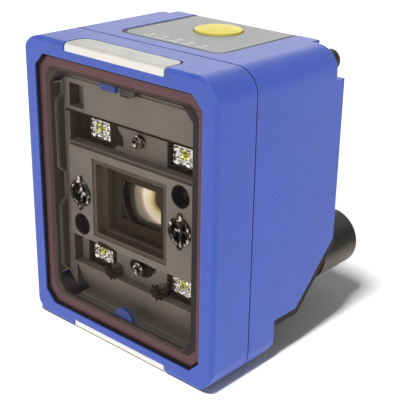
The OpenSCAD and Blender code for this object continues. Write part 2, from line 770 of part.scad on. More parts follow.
module sensor_board() color(BOARD) placed() difference() {
    from_to(sensor_y, sensor_back) translate([-sensor_board_w / 2, sensor_low])
        square([sensor_board_w, sensor_high - sensor_low]);
    stack_points() rod(0, 0, small_r + 0.15, sensor_y - 1, sensor_back + 1);
}

// A six-sided spacer with a stud at its front and a threaded bore at its back.
module spacer(y0, y1, stud, bore) difference() {
    union() {
        translate([0, y0, 0]) rotate([-90, 0, 0]) cylinder(r = spacer_r, h = y1 - y0, $fn = 6);
        rod(0, 0, small_r, y0 - stud, y0 + 1);
    }
    rod(0, 0, small_r + fit, y1 - bore, y1 + 1);
}

module front_spacers() color(STEEL) placed() stack_points()
    spacer(carrier_back, sensor_y, spacer_stud, spacer_bore);

module rear_spacers() color(STEEL) placed() stack_points() spacer(sensor_back, cpu_y, board_t + 4, 4.4);

module processor_board() color(BOARD) placed() difference() {
    from_to(cpu_y, cpu_back) translate([-cpu_board_w / 2, cpu_low])
        square([cpu_board_w, cpu_high - cpu_low]);
    stack_points() rod(0, 0, small_r + 0.15, cpu_y - 1, cpu_back + 1);
}

module processor() color(DARK) placed() from_to(cpu_back, cpu_back + cpu_t)
    optic_rect(cpu_w, cpu_w, cpu_z - optic_z);

module thermal_pad() color(PANEL_GREY) placed() from_to(cpu_back + cpu_t, heat_y)
    optic_rect(cpu_w, cpu_w, cpu_z - optic_z);

module stack_screws() color(STEEL) placed() stack_points() translate([0, cpu_back, 0]) rotate([90, 0, 0])
    small_screw(board_t + 4);

// Key panel: a flush plate on the roof with the button's opening and the status lights' holes.
module key_panel() color(PANEL_GREY) placed() difference() {
    translate([0, 0, body_h - pad_recess]) linear_extrude(pad_recess - pad_low) pad_plan(0, 0);
    translate([0, button_y, 0]) post(button_r + free, well_floor, body_h + 1);
    status_points() post(status_r + fit, body_h - roof, body_h + 1);
}

// The button: a domed cap on a stem with a neck for its clip.
module push_button() color(YELLOW) placed() translate([0, button_y, 0]) difference() {
    union() {
        post(button_r, cap_low, cap_side);
        intersection() {
            post(button_r, cap_side - 0.5, cap_side + dome_h);
            translate([0, 0, cap_side + dome_h - dome_curve]) sphere(r = dome_curve);
        }
        post(stem_r, stem_end, cap_low + 1);
    }
    ring(stem_r + 1, stem_neck, clip_top - clip_t, clip_top);
}

module button_clip() color(STEEL) placed() translate([0, button_y, 0])
    ring(clip_r, stem_neck, clip_top - clip_t, clip_top);

module switch_plunger() color(BLACK) placed() translate([0, button_y, 0])
    post(plunger_r, stem_end - plunger_l, stem_end);

module key_switch() color(DARK) placed() difference() {
    translate([-switch_w / 2, button_y - switch_w / 2, key_top]) cube([switch_w, switch_w, switch_h]);
    translate([0, button_y, 0])
        post(plunger_r + run, stem_end - plunger_l - button_travel - 0.3, switch_top + 1);
}

module key_board() color(BOARD) placed() difference() {
    box([-key_w / 2, key_front, key_top - board_t], [key_w / 2, key_back, key_top]);
    key_points() post(small_r + 0.15, key_top - board_t - 1, key_top + 1);
}

module status_chips() color(WHITE) placed() status_points() translate([-0.8, -0.8, key_top])
    cube([1.6, 1.6, status_chip]);

module status_pipes() color(GLASS) placed() status_points()
    post(status_r, key_top + status_chip, body_h - pad_low);

module board_screws() color(STEEL) placed() {
    key_points() translate([0, 0, key_top - board_t]) small_screw(board_t + screw_bite);
    on_ramp(0) interface_points() translate([0, 0, interface_z - board_t])
        small_screw(board_t + screw_bite);
}

// Connector panel: a bent plate on the shelf and the slope.
module connector_panel() color(DARK) placed() difference() {
    across(body_w - 2 * panel_side) polygon([
        [foot_d + free, shelf_z], [ramp_y, shelf_z], [body_d - panel_side, ramp_top - panel_side],
        [body_d - panel_side + panel_t * sqrt(0.5), ramp_top - panel_side - panel_t * sqrt(0.5)],
        [ramp_y + panel_t * (sqrt(2) - 1), shelf_z - panel_t], [foot_d + free, shelf_z - panel_t]]);
    for (x = [-plug_x, plug_x]) on_ramp(x) post(stub_r + run, -panel_t - 1, 1);
    on_ramp(0) panel_points() post(small_r + 0.15, -panel_t - 1, 1);
}

module panel_screws() color(STEEL) placed() on_ramp(0) panel_points() mirror([0, 0, 1])
    small_screw(panel_t + wall - 0.2);

module interface_board() color(BOARD) placed() on_ramp(0) difference() {
    box([-interface_w / 2, -interface_h / 2, interface_z - board_t],
        [interface_w / 2, interface_h / 2, interface_z]);
    interface_points() post(small_r + 0.15, interface_z - board_t - 1, interface_z + 1);
}

// Swivelling elbow: base on the slope, stub through the wall, collar and spigot straight back.
module elbow(x) placed() on_ramp(x) difference() {
    union() {
        difference() {
            union() {
                along_plug() post(collar_r, -collar_r - 2, collar_l);
                along_plug() post(neck_r, 0, insert_s);
                post(collar_r + 0.8, face_run, face_run + 1.2);
            }
            box([-20, -20, -20], [20, 20, face_run]);
        }
        post(stub_r, -stub_in, face_run + 1);
    }
    along_plug() post(insert_stem_r + fit, 5, insert_s + 1);
    post(wire_r, -stub_in - 1, 5);
    ring(stub_r + 1, swivel_neck, swivel_clip_z - clip_t, swivel_clip_z);
    ring(stub_r + 1, swivel_neck, seal_z - seal_cord, seal_z);
}

// Threaded sleeve pressed on the elbow's spigot, its outer end edge broken.
module sleeve(x) placed() on_ramp(x) along_plug() rotate_extrude() polygon([
    [neck_r + fit, sleeve_s], [sleeve_r, sleeve_s], [sleeve_r, sleeve_end - 0.6],
    [sleeve_r - 0.6, sleeve_end], [thread_r, sleeve_end], [thread_r, insert_s], [neck_r + fit, insert_s]]);

// Socket insert with a contact bore for each contact and a keyway.
module insert(x) placed() on_ramp(x) along_plug() difference() {
    union() {
        post(insert_stem_r, insert_s - 4, insert_s);
        post(thread_r - fit, insert_s, insert_s + insert_flange);
        post(insert_core_r, insert_s, core_end);
    }
    contact_points() post(contact_r + fit, insert_s - 5, core_end + 1);
    box([-0.6, insert_core_r - 0.7, insert_s + insert_flange], [0.6, insert_core_r + 1, core_end + 1]);
}

module contacts(x) placed() on_ramp(x) along_plug() contact_points() difference() {
    post(contact_r, insert_s - 5.5, core_end - 0.3);
    post(contact_r - 0.2, core_end - 4.3, core_end);
}

module swivel_seal(x) placed() on_ramp(x) ring(stub_r, swivel_neck, seal_z - seal_cord, seal_z);

module swivel_clip(x) placed() on_ramp(x)
    ring(swivel_clip_r, swivel_neck, swivel_clip_z - clip_t, swivel_clip_z);

module elbow_right() color(BLACK) elbow(plug_x);
module sleeve_right() color(BLACK) sleeve(plug_x);
module insert_right() color(DARK) insert(plug_x);
module contacts_right() color(GOLD) contacts(plug_x);
module seal_right() color(BLACK) swivel_seal(plug_x);
module clip_right() color(STEEL) swivel_clip(plug_x);

module elbow_left() color(BLACK) elbow(-plug_x);
module sleeve_left() color(BLACK) sleeve(-plug_x);
module insert_left() color(DARK) insert(-plug_x);
module contacts_left() color(GOLD) contacts(-plug_x);
module seal_left() color(BLACK) swivel_seal(-plug_x);
module clip_left() color(STEEL) swivel_clip(-plug_x);

front_bezel();
window_pane();
window_strip();
top_light_bar();
bottom_light_bar();
bar_led_strips();
seam_gasket();
rear_housing();
upper_screws();
lower_screws();
illuminator_tray();
led_lenses();
led_chips();
aimers();
spot_lights();
aperture_frame();
led_board();
push_nuts();
tray_screws();
optics_carrier();
lens_barrel();
lens_glass();
lens_ring();
image_sensor();
sensor_board();
front_spacers();
rear_spacers();
processor_board();
processor();
thermal_pad();
stack_screws();
key_panel();
push_button();
button_clip();
switch_plunger();
key_switch();
key_board();
status_chips();
status_pipes();
board_screws();
connector_panel();
panel_screws();
interface_board();
elbow_right();
sleeve_right();
insert_right();
contacts_right();
seal_right();
clip_right();
elbow_left();
sleeve_left();
insert_left();
contacts_left();
seal_left();
clip_left();
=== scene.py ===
"""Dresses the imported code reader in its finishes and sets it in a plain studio."""
import logging
import math
from collections.abc import Callable, Iterator
from contextlib import contextmanager
from dataclasses import dataclass
from enum import Enum

import bmesh
import bpy
from mathutils import Matrix, Vector


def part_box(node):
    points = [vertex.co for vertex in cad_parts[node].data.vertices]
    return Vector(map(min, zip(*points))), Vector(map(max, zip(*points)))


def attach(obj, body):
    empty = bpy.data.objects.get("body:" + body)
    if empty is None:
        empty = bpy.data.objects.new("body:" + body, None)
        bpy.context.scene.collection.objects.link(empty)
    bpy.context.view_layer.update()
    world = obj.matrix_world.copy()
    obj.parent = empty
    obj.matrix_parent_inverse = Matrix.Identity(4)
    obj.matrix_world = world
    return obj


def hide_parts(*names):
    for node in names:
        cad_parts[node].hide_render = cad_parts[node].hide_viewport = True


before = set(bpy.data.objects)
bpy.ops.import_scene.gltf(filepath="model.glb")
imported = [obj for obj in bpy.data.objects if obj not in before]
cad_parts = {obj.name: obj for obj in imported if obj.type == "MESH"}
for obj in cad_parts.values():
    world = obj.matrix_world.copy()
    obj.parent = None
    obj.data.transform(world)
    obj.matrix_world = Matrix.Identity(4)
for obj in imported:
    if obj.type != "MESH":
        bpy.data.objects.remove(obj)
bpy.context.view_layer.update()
MM = 0.001
LOG = logging.getLogger("code_reader")

# A length too small to see
HAIR = 0.01 * MM
# The part of a noise pattern's range that most of it fills
NOISE_LOW = 0.3
NOISE_HIGH = 0.7
# The cosine between the rounded normal and the flat one, at an edge and beside it
EDGE_TURN = (0.8, 0.99)
# Where a foam's cells begin and end to pale, going out from the middle, and how dark the middle is
PIT = (0.1, 0.5)
PIT_DARK = 0.6
# How nearly a face or an edge has to follow an axis
ALONG = 0.9
# How far light goes inside milky plastic and rubber
GLOW_REACH = (2 * MM, 2 * MM, 1.8 * MM)
# Edges of new pieces that turn by more than this stay sharp
SHARP = math.radians(35)

Socket = bpy.types.NodeSocket
Piece = bpy.types.Object
FaceTest = Callable[[bmesh.types.BMFace], bool]
Pair = tuple[float, float]
Triple = tuple[float, float, float]
Colour = Triple


class Body(Enum):
    """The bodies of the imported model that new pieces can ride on."""

    READER = "reader"
    SWIVEL_RIGHT = "swivel_right"
    SWIVEL_LEFT = "swivel_left"


class Reach(Enum):
    """What a lamp lights, by how it is linked to the floor."""

    OBJECT = "EXCLUDE"
    FLOOR = "INCLUDE"


class Ends(Enum):
    """Whether a round primitive starts with its ends filled."""

    CLOSED = "NGON"
    OPEN = "NOTHING"


def tone(red: int, green: int, blue: int) -> Colour:
    """Turns a screen colour into the linear colour that shaders take.

    Args:
        red: Red, 0 to 255.
        green: Green, 0 to 255.
        blue: Blue, 0 to 255.

    Returns:
        The linear colour.
    """
    def channel(value: int) -> float:
        """Gives one channel in linear light."""
        share = value / 255
        return share / 12.92 if share <= 0.04045 else ((share + 0.055) / 1.055) ** 2.4

    return channel(red), channel(green), channel(blue)


def dim(colour: Colour, share: float) -> Colour:
    """Gives a share of a colour."""
    return tuple(share * channel for channel in colour)


class Nodes:
    """A tree of shader nodes, with short calls for those that finishes and the studio share."""

    def __init__(self, tree: bpy.types.NodeTree) -> None:
        """Takes the tree that gets the nodes."""
        self.tree = tree

    def node(self, kind: str, **settings: object) -> bpy.types.Node:
        """Adds a node.

        Args:
            kind: The node's type name.
            settings: Properties set on the node.

        Returns:
            The new node.
        """
        made = self.tree.nodes.new(kind)
        for key, value in settings.items():
            setattr(made, key, value)
        return made

    def feed(self, socket: Socket, value: object) -> None:
        """Links a socket to another one, or sets its value.

        Args:
            socket: The socket.
            value: The other socket, or a number, a vector or a colour.
        """
        if isinstance(value, bpy.types.NodeSocket):
            self.tree.links.new(value, socket)
        else:
            socket.default_value = value

    def spread(self, value: Socket, low: float, high: float, start: float = 0, end: float = 1) -> Socket:
        """Maps a value from one range to another.

        Args:
            value: The value to map.
            low: What the start becomes.
            high: What the end becomes.
            start: The lower end of the value's range.
            end: The upper end of the value's range.

        Returns:
            The mapped value.
        """
        made = self.node("ShaderNodeMapRange")
        self.feed(made.inputs["Value"], value)
        for key, number in (("From Min", start), ("From Max", end), ("To Min", low), ("To Max", high)):
            made.inputs[key].default_value = number
        return made.outputs["Result"]

    def math(self, operation: str, first: object, second: object = 0) -> Socket:
        """Gives the result of an operation on one value or two.

        Args:
            operation: The operation's name.
            first: A socket or a number.
            second: Another one, for operations on two.

        Returns:
            The result.
        """
        made = self.node("ShaderNodeMath", operation=operation)
        self.feed(made.inputs[0], first)
        self.feed(made.inputs[1], second)
        return made.outputs["Value"]

    def length(self, vector: Socket) -> Socket:
        """Gives the length of a vector.

        Args:
            vector: The vector.

        Returns:
            Its length.
        """
        made = self.node("ShaderNodeVectorMath", operation="LENGTH")
        self.feed(made.inputs[0], vector)
        return made.outputs["Value"]

    def seen(self) -> Socket:
        """Tells rays that show a surface as it is from rays that carry light to another one.

        Returns:
            1 to the camera, to gloss and through glass, and 0 to all other light.
        """
        path = self.node("ShaderNodeLightPath").outputs
        plain = self.math("MAXIMUM", path["Is Camera Ray"], path["Is Glossy Ray"])
        return self.math("MAXIMUM", plain, path["Is Transmission Ray"])


class Recipe(Nodes):
    """A material's nodes, with the patterns that finishes share."""

    def __init__(self, name: str) -> None:
        """Starts a material with one Principled shader.

        Args:
            name: The material's name.
        """
        self.material = bpy.data.materials.new(name)
        self.material.use_nodes = True
        super().__init__(self.material.node_tree)
        self.shader = self.tree.nodes["Principled BSDF"]
        self.output = self.tree.nodes["Material Output"]
        self.place = self.node("ShaderNodeTexCoord").outputs["Object"]

    def set(self, **values: object) -> None:
        """Sets inputs of the Principled shader, named with _ for each space."""
        for key, value in values.items():
            self.feed(self.shader.inputs[key.replace("_", " ")], value)

    def noise(self, size: float, detail: float = 2.0, stretch: Triple = (1, 1, 1)) -> Socket:
        """Gives a noise pattern.

        Args:
            size: The size of its grains, in millimetres.
            detail: How many finer layers it has.
            stretch: How many times longer the grains are along each axis.

        Returns:
            The pattern, from 0 to 1.
        """
        mapping = self.node("ShaderNodeMapping")
        self.feed(mapping.inputs["Vector"], self.place)
        mapping.inputs["Scale"].default_value = tuple(1 / s for s in stretch)
        made = self.node("ShaderNodeTexNoise")
        self.feed(made.inputs["Vector"], mapping.outputs["Vector"])
        made.inputs["Scale"].default_value = 1 / (size * MM)
        made.inputs["Detail"].default_value = detail
        return made.outputs["Fac"]

    def cells(self, size: float, **settings: object) -> Socket:
        """Gives a pattern of scattered cells.

        Args:
            size: How far apart the cells are, in millimetres.
            settings: Properties set on the pattern's node.

        Returns:
            The distance from a cell's middle, or what the settings say.
        """
        made = self.node("ShaderNodeTexVoronoi", **settings)
        self.feed(made.inputs["Vector"], self.place)
        made.inputs["Scale"].default_value = 1 / (size * MM)
        return made.outputs["Distance"]

    def uneven(self, pattern: Socket, low: float = 0, high: float = 1) -> Socket:
        """Spreads the part of a noise pattern where most of it lies over a range."""
        return self.spread(pattern, low, high, NOISE_LOW, NOISE_HIGH)

    def mix(self, share: Socket, first: object, second: object) -> Socket:
        """Mixes two colours.

        Args:
            share: How much there is of the second, from 0 to 1.
            first: The first colour, fixed or from a socket.
            second: The second colour, fixed or from a socket.

        Returns:
            The mixed colour.
        """
        made = self.node("ShaderNodeMix", data_type="RGBA")
        self.feed(made.inputs["Factor"], share)
        for socket, value in ((made.inputs[6], first), (made.inputs[7], second)):
            self.feed(socket, (*value, 1.0) if isinstance(value, tuple) else value)
        return made.outputs[2]

    def mottled(self, pattern: Socket, colour: Colour, share: float) -> Socket:
        """Gives a colour that sinks to a share of itself where a noise pattern is low."""
        return self.mix(self.uneven(pattern), dim(colour, share), colour)

    def away(self, value: Socket, middle: float = 0) -> Socket:
        """Gives how far a value is from a middle, to either side."""
        return self.math("ABSOLUTE", self.math("SUBTRACT", value, middle))

    def split(self, vector: Socket) -> bpy.types.bpy_prop_collection:
        """Splits a vector.

        Args:
            vector: The vector.

        Returns:
            The outputs X, Y and Z.
        """
        made = self.node("ShaderNodeSeparateXYZ")
        self.feed(made.inputs["Vector"], vector)
        return made.outputs

    def outward(self) -> bpy.types.bpy_prop_collection:
        """Gives the surface's own direction in the piece's frame.

        Returns:
            The outputs X, Y and Z.
        """
        turned = self.node(
            "ShaderNodeVectorTransform", vector_type="NORMAL", convert_from="WORLD", convert_to="OBJECT")
        self.feed(turned.inputs["Vector"], self.node("ShaderNodeNewGeometry").outputs["Normal"])
        return self.split(turned.outputs["Vector"])

    def ramp(self, value: Socket, *stops: tuple[float, Colour]) -> Socket:
        """Turns a value from 0 to 1 into colours.

        Args:
            value: The value.
            stops: Pairs of a value and its colour, in rising order.

        Returns:
            The colour.
        """
        made = self.node("ShaderNodeValToRGB")
        elements = made.color_ramp.elements
        elements.remove(elements[1])
        elements[0].position = stops[0][0]
        elements[0].color = (*stops[0][1], 1)
        for place, colour in stops[1:]:
            elements.new(place).color = (*colour, 1)
        self.feed(made.inputs["Fac"], value)
        return made.outputs["Color"]

    def bump(self, height: Socket, depth: float, normal: Socket | None = None) -> Socket:
        """Turns a height pattern into a normal.

        Args:
            height: The pattern.
            depth: How deep it is, in millimetres.
            normal: A normal to add it to.

        Returns:
            The new normal.
        """
        made = self.node("ShaderNodeBump")
        made.inputs["Distance"].default_value = depth * MM
        self.feed(made.inputs["Height"], height)
        if normal is not None:
            self.feed(made.inputs["Normal"], normal)
        return made.outputs["Normal"]

    def soft_edge(self, radius: float) -> Socket:
        """Gives the surface's normal with its edges rounded.

        Args:
            radius: The radius of the rounding, in millimetres.

        Returns:
            The normal.
        """
        made = self.node("ShaderNodeBevel", samples=4)
        made.inputs["Radius"].default_value = radius * MM
        return made.outputs["Normal"]

    def edges(self, radius: float) -> Socket:
        """Finds the edges of the surface.

        Args:
            radius: How far from an edge counts, in millimetres.

        Returns:
            1 along edges and 0 away from them.
        """
        made = self.node("ShaderNodeVectorMath", operation="DOT_PRODUCT")
        self.feed(made.inputs[0], self.soft_edge(radius))
        self.feed(made.inputs[1], self.node("ShaderNodeNewGeometry").outputs["Normal"])
        return self.spread(made.outputs["Value"], 1, 0, *EDGE_TURN)


@dataclass(frozen=True)
class Finish:
    """A material made from its own fields: patterns in millimetres, places and widths in metres."""

    name: str

    def make(self) -> bpy.types.Material:
        """Builds the material.

        Returns:
            The material.
        """
        recipe = Recipe(self.name)
        self.lay(recipe)
        return recipe.material

    def lay(self, recipe: Recipe) -> None:
        """Lays the material's nodes."""
        raise NotImplementedError


@dataclass(frozen=True)
class PaintFinish(Finish):
    """A textured paint on a casting: fine grain, soft edges and corners with wear."""

    paint: Colour
    rubbed_and_highlit: Colour
    shine: float = 0.4
    grain: float = 0.35
    depth: float = 0.02
    sheen: float = 0.05
    gloss: float = 0.5
    smoother: float = 0.05
    rougher: float = 0.12
    sheen_rough: float = 0.35
    patch: float = 9
    dark: float = 0.88
    fleck: float = 0.35
    fleck_from: Pair = (0.35, 0.75)
    worn_patch: float = 2.5
    worn_and_highlit_share: Pair = (0.15, 0.7)
    worn_from: Pair = (0.35, 0.7)
    worn_and_highlit_edge: float = 0.5
    edge: float = 0.25

    def lay(self, recipe: Recipe) -> None:
        """Lays the material's nodes.

        Args:
            recipe: The material in the making.
        """
        grain = recipe.noise(self.grain, detail=3)
        body = recipe.mottled(recipe.noise(self.patch, detail=3), self.paint, self.dark)
        fine = recipe.mix(recipe.spread(grain, 0, self.fleck, *self.fleck_from), body, self.rubbed_and_highlit)
        patches = recipe.spread(recipe.noise(self.worn_patch, detail=4), *self.worn_and_highlit_share, *self.worn_from)
        worn_and_highlit = recipe.math("MULTIPLY", recipe.edges(self.worn_and_highlit_edge), patches)
        recipe.set(
            Base_Color=self.cover(recipe, recipe.mix(worn_and_highlit, fine, self.rubbed_and_highlit)),
            Roughness=recipe.uneven(grain, self.shine - self.smoother, self.shine + self.rougher),
            Normal=recipe.bump(grain, self.depth, recipe.soft_edge(self.edge)),
            Sheen_Weight=self.sheen,
            Sheen_Roughness=self.sheen_rough,
            Specular_IOR_Level=self.gloss,
        )

    def cover(self, recipe: Recipe, painted: Socket) -> Socket:
        """Gives the colour where the paint lies, which is everywhere."""
        return painted


@dataclass(frozen=True)
class CornerShadePaintFinish(PaintFinish):
    """A paint that gives way to a painted shade in the inner corners behind the window."""

    # The inner corners' dark tone: a painted shade
    bare: Colour = (0, 0, 0)
    inner_x: float = 0.0
    fade: float = 1 * MM
    outer_x: float = 0.0
    front_y: float = 0.0
    back_y: float = 0.0
    low_z: float = 0.0
    high_z: float = 0.0

    def cover(self, recipe: Recipe, painted: Socket) -> Socket:
        """Gives the painted shade's colour in the corners and the paint elsewhere.

        Args:
            recipe: The material in the making.
            painted: The paint's colour.

        Returns:
            The colour of the whole casting.
        """
        place = recipe.split(recipe.place)
        across = recipe.away(place["X"])
        share = recipe.spread(across, 0, 1, self.inner_x, self.inner_x + self.fade)
        for value, limit, test in (
                (across, self.outer_x, "LESS_THAN"),
                (place["Y"], self.front_y, "GREATER_THAN"), (place["Y"], self.back_y, "LESS_THAN"),
                (place["Z"], self.low_z, "GREATER_THAN"), (place["Z"], self.high_z, "LESS_THAN")):
            share = recipe.math("MULTIPLY", share, recipe.math(test, value, limit))
        return recipe.mix(share, painted, self.bare)


@dataclass(frozen=True)
class MouldedFinish(Finish):
    """A moulded plastic or rubber: fine spark-eroded grain and slightly uneven shine."""

    plastic: Colour
    shine: float = 0.5
    grain: float = 0.25
    depth: float = 0.008
    glow: float = 0.0
    edge: float = 0.12
    gloss: float = 0.5
    smoother: float = 0.06
    rougher: float = 0.08
    patch: float = 5
    dark: float = 0.86

    def lay(self, recipe: Recipe) -> None:
        """Lays the material's nodes.

        Args:
            recipe: The material in the making.
        """
        broad = recipe.noise(self.patch, detail=3)
        recipe.set(
            Base_Color=recipe.mottled(broad, self.plastic, self.dark),
            Roughness=recipe.uneven(broad, self.shine - self.smoother, self.shine + self.rougher),
            Normal=recipe.bump(recipe.noise(self.grain), self.depth, recipe.soft_edge(self.edge)),
            Subsurface_Weight=self.glow,
            Subsurface_Radius=GLOW_REACH,
            Specular_IOR_Level=self.gloss,
        )


@dataclass(frozen=True)
class TrayFinish(Finish):
    """A grey moulding with painted shading in a tone of its own on the faces that look to the side, and
    painted highlights along its edges, most of all at its sides.
    """

    plastic: Colour
    rubbed_and_highlit: Colour
    # The tone painted on faces that look to the side, as painted shading
    wall: Colour
    rough: Pair = (0.42, 0.56)
    wall_shading_from: Pair = (0.4, 0.8)
    worn_and_highlit_edge: float = 0.22
    worn_and_highlit_share: float = 0.7
    side_x: float = 25.2 * MM
    side_highlight: Colour = (0.9, 0.87, 0.76)
    side_highlight_edge: float = 0.6
    patch: float = 5
    dark: float = 0.86
    grain: float = 0.3
    depth: float = 0.012
    edge: float = 0.12

    def lay(self, recipe: Recipe) -> None:
        """Lays the material's nodes.

        Args:
            recipe: The material in the making.
        """
        broad = recipe.noise(self.patch, detail=3)
        face = recipe.mottled(broad, self.plastic, self.dark)
        # Faces that look to the side take the wall tone: painted shading by the way a face looks
        side_shading = recipe.spread(recipe.away(recipe.outward()["X"]), 0, 1, *self.wall_shading_from)
        wall_shaded = recipe.mix(side_shading, face, self.wall)
        # Edges take the paler tone: painted highlights
        worn_and_highlit = recipe.mix(recipe.spread(recipe.edges(self.worn_and_highlit_edge), 0, self.worn_and_highlit_share), wall_shaded, self.rubbed_and_highlit)
        # Edges far out to the sides take a still paler tone: painted highlights along the ribs
        far_out = recipe.math("GREATER_THAN", recipe.away(recipe.split(recipe.place)["X"]), self.side_x)
        side_highlight_mask = recipe.math("MULTIPLY", far_out, recipe.edges(self.side_highlight_edge))
        recipe.set(
            Base_Color=recipe.mix(side_highlight_mask, worn_and_highlit, self.side_highlight),
            Roughness=recipe.uneven(broad, *self.rough),
            Normal=recipe.bump(recipe.noise(self.grain), self.depth, recipe.soft_edge(self.edge)),
        )


@dataclass(frozen=True)
class DiffuserFinish(Finish):
    """A milky diffuser with a painted shade on its upward faces, broken up by a noise, so that its front edge
    is paler than its top.
    """

    front: Colour
    top: Colour
    top_from: Pair = (0.5, 0.95)
    rough: Pair = (0.38, 0.52)
    top_shade_patch: float = 4
    top_shade_share: Pair = (0.75, 1)
    grain: float = 0.2
    depth: float = 0.006
    edge: float = 0.15
    glow: float = 0.12

    def lay(self, recipe: Recipe) -> None:
        """Lays the material's nodes.

        Args:
            recipe: The material in the making.
        """
        grain = recipe.noise(self.grain)
        top_shade_patch = recipe.uneven(recipe.noise(self.top_shade_patch, detail=4), *self.top_shade_share)
        # Upward faces take the darker top tone: painted shade
        upward = recipe.spread(recipe.outward()["Z"], 0, 1, *self.top_from)
        recipe.set(
            Base_Color=recipe.mix(recipe.math("MULTIPLY", upward, top_shade_patch), self.front, self.top),
            Roughness=recipe.uneven(grain, *self.rough),
            Normal=recipe.bump(grain, self.depth, recipe.soft_edge(self.edge)),
            Subsurface_Weight=self.glow,
            Subsurface_Radius=GLOW_REACH,
        )


@dataclass(frozen=True)
class FoamFinish(Finish):
    """A soft closed-cell strip or pad, matt and finely pitted."""

    foam: Colour
    cell: float = 0.3
    depth: float = 0.04
    rough: Pair = (0.7, 0.9)
    gloss: float = 0.5
    patch: float = 3

    def lay(self, recipe: Recipe) -> None:
        """Lays the material's nodes.

        Args:
            recipe: The material in the making.
        """
        cells = recipe.cells(self.cell)
        pitted = recipe.mix(recipe.spread(cells, 0, 1, *PIT), dim(self.foam, PIT_DARK), self.foam)
        recipe.set(
            Base_Color=self.cover(recipe, pitted),
            Roughness=recipe.spread(recipe.noise(self.patch), *self.rough),
            Normal=recipe.bump(cells, self.depth),
            Specular_IOR_Level=self.gloss,
        )

    def cover(self, recipe: Recipe, pitted: Socket) -> Socket:
        """Gives the colour where the foam shows, which is everywhere."""
        return pitted


@dataclass(frozen=True)
class StripFinish(FoamFinish):
    """The window's sealing strip: foam outside, and inside it a band of painted shade that turns to a black
    painted shadow on the right.
    """

    depth: float = 0.03
    rough: Pair = (0.6, 0.85)
    lip: Colour = (0, 0, 0)
    right_shadow_lip: Colour = (0, 0, 0)
    right_shadow_from: Pair = (0.7, 0.85)
    half_w: float = 0.0
    half_h: float = 0.0
    middle: float = 0.0
    side: float = 1.7 * MM
    cap: float = 2.4 * MM
    cut: float = 6.56 * MM
    blur: float = 0.05 * MM

    def cover(self, recipe: Recipe, pitted: Socket) -> Socket:
        """Gives the foam's colour along the outside and the painted shade inside it.

        Args:
            recipe: The material in the making.
            pitted: The foam's colour.

        Returns:
            The colour of the whole strip.
        """
        place = recipe.split(recipe.place)
        across = recipe.away(place["X"])
        up = recipe.away(place["Z"], self.middle)
        beside = recipe.math("SUBTRACT", across, self.half_w - self.side)
        above = recipe.math("SUBTRACT", up, self.half_h - self.cap)
        corner = recipe.math("SUBTRACT", recipe.math("ADD", across, up), self.half_w + self.half_h - self.cut)
        outer = recipe.math("MAXIMUM", recipe.math("MAXIMUM", beside, above), corner)
        start, end = self.right_shadow_from
        right_shadow_mask = recipe.spread(place["X"], 0, 1, start * self.half_w, end * self.half_w)
        lip = recipe.mix(right_shadow_mask, self.lip, self.right_shadow_lip)
        return recipe.mix(recipe.spread(outer, 0, 1, -self.blur, self.blur), lip, pitted)


@dataclass(frozen=True)
class BeadFinish(FoamFinish):
    """The window's sealing bead: a black skin in front and the strip's foam behind it."""

    depth: float = 0.03
    rough: Pair = (0.6, 0.85)
    gloss: float = 0.2
    skin: Colour = (0, 0, 0)
    split_y: float = 0.0

    def cover(self, recipe: Recipe, pitted: Socket) -> Socket:
        """Gives the skin's colour in front and the foam's colour behind it."""
        behind = recipe.math("GREATER_THAN", recipe.split(recipe.place)["Y"], self.split_y)
        return recipe.mix(behind, self.skin, pitted)


@dataclass(frozen=True)
class MetalFinish(Finish):
    """A turned or plated metal with fine tool marks across its axis."""

    metal: Colour
    shine: float = 0.3
    smoother: float = 0.08
    rougher: float = 0.12
    marks: float = 0.15
    stretch: Triple = (12, 1, 12)
    depth: float = 0.004
    edge: float = 0.15
    patch: float = 3
    dark: float = 0.75

    def lay(self, recipe: Recipe) -> None:
        """Lays the material's nodes.

        Args:
            recipe: The material in the making.
        """
        marks = recipe.noise(self.marks, detail=3, stretch=self.stretch)
        recipe.set(
            Base_Color=recipe.mottled(recipe.noise(self.patch, detail=4), self.metal, self.dark),
            Roughness=recipe.uneven(marks, self.shine - self.smoother, self.shine + self.rougher),
            Normal=recipe.bump(marks, self.depth, recipe.soft_edge(self.edge)),
            Metallic=1.0,
        )


@dataclass(frozen=True)
class GlintFinish(Finish):
    """A dark polished metal with painted glints: scattered patches of a bright colour."""

    dark: Colour
    glint: Colour
    size: float
    glint_from: Pair = (0.56, 0.66)
    rough: Pair = (0.08, 0.2)
    patch: float = 2
    depth: float = 0.2
    edge: float = 0.15

    def lay(self, recipe: Recipe) -> None:
        """Lays the material's nodes.

        Args:
            recipe: The material in the making.
        """
        waves = recipe.noise(self.size, detail=1)
        recipe.set(
            Base_Color=recipe.mix(recipe.spread(waves, 0, 1, *self.glint_from), self.dark, self.glint),
            Roughness=recipe.uneven(recipe.noise(self.patch, detail=3), *self.rough),
            Normal=recipe.bump(waves, self.depth, recipe.soft_edge(self.edge)),
            Metallic=1.0,
        )


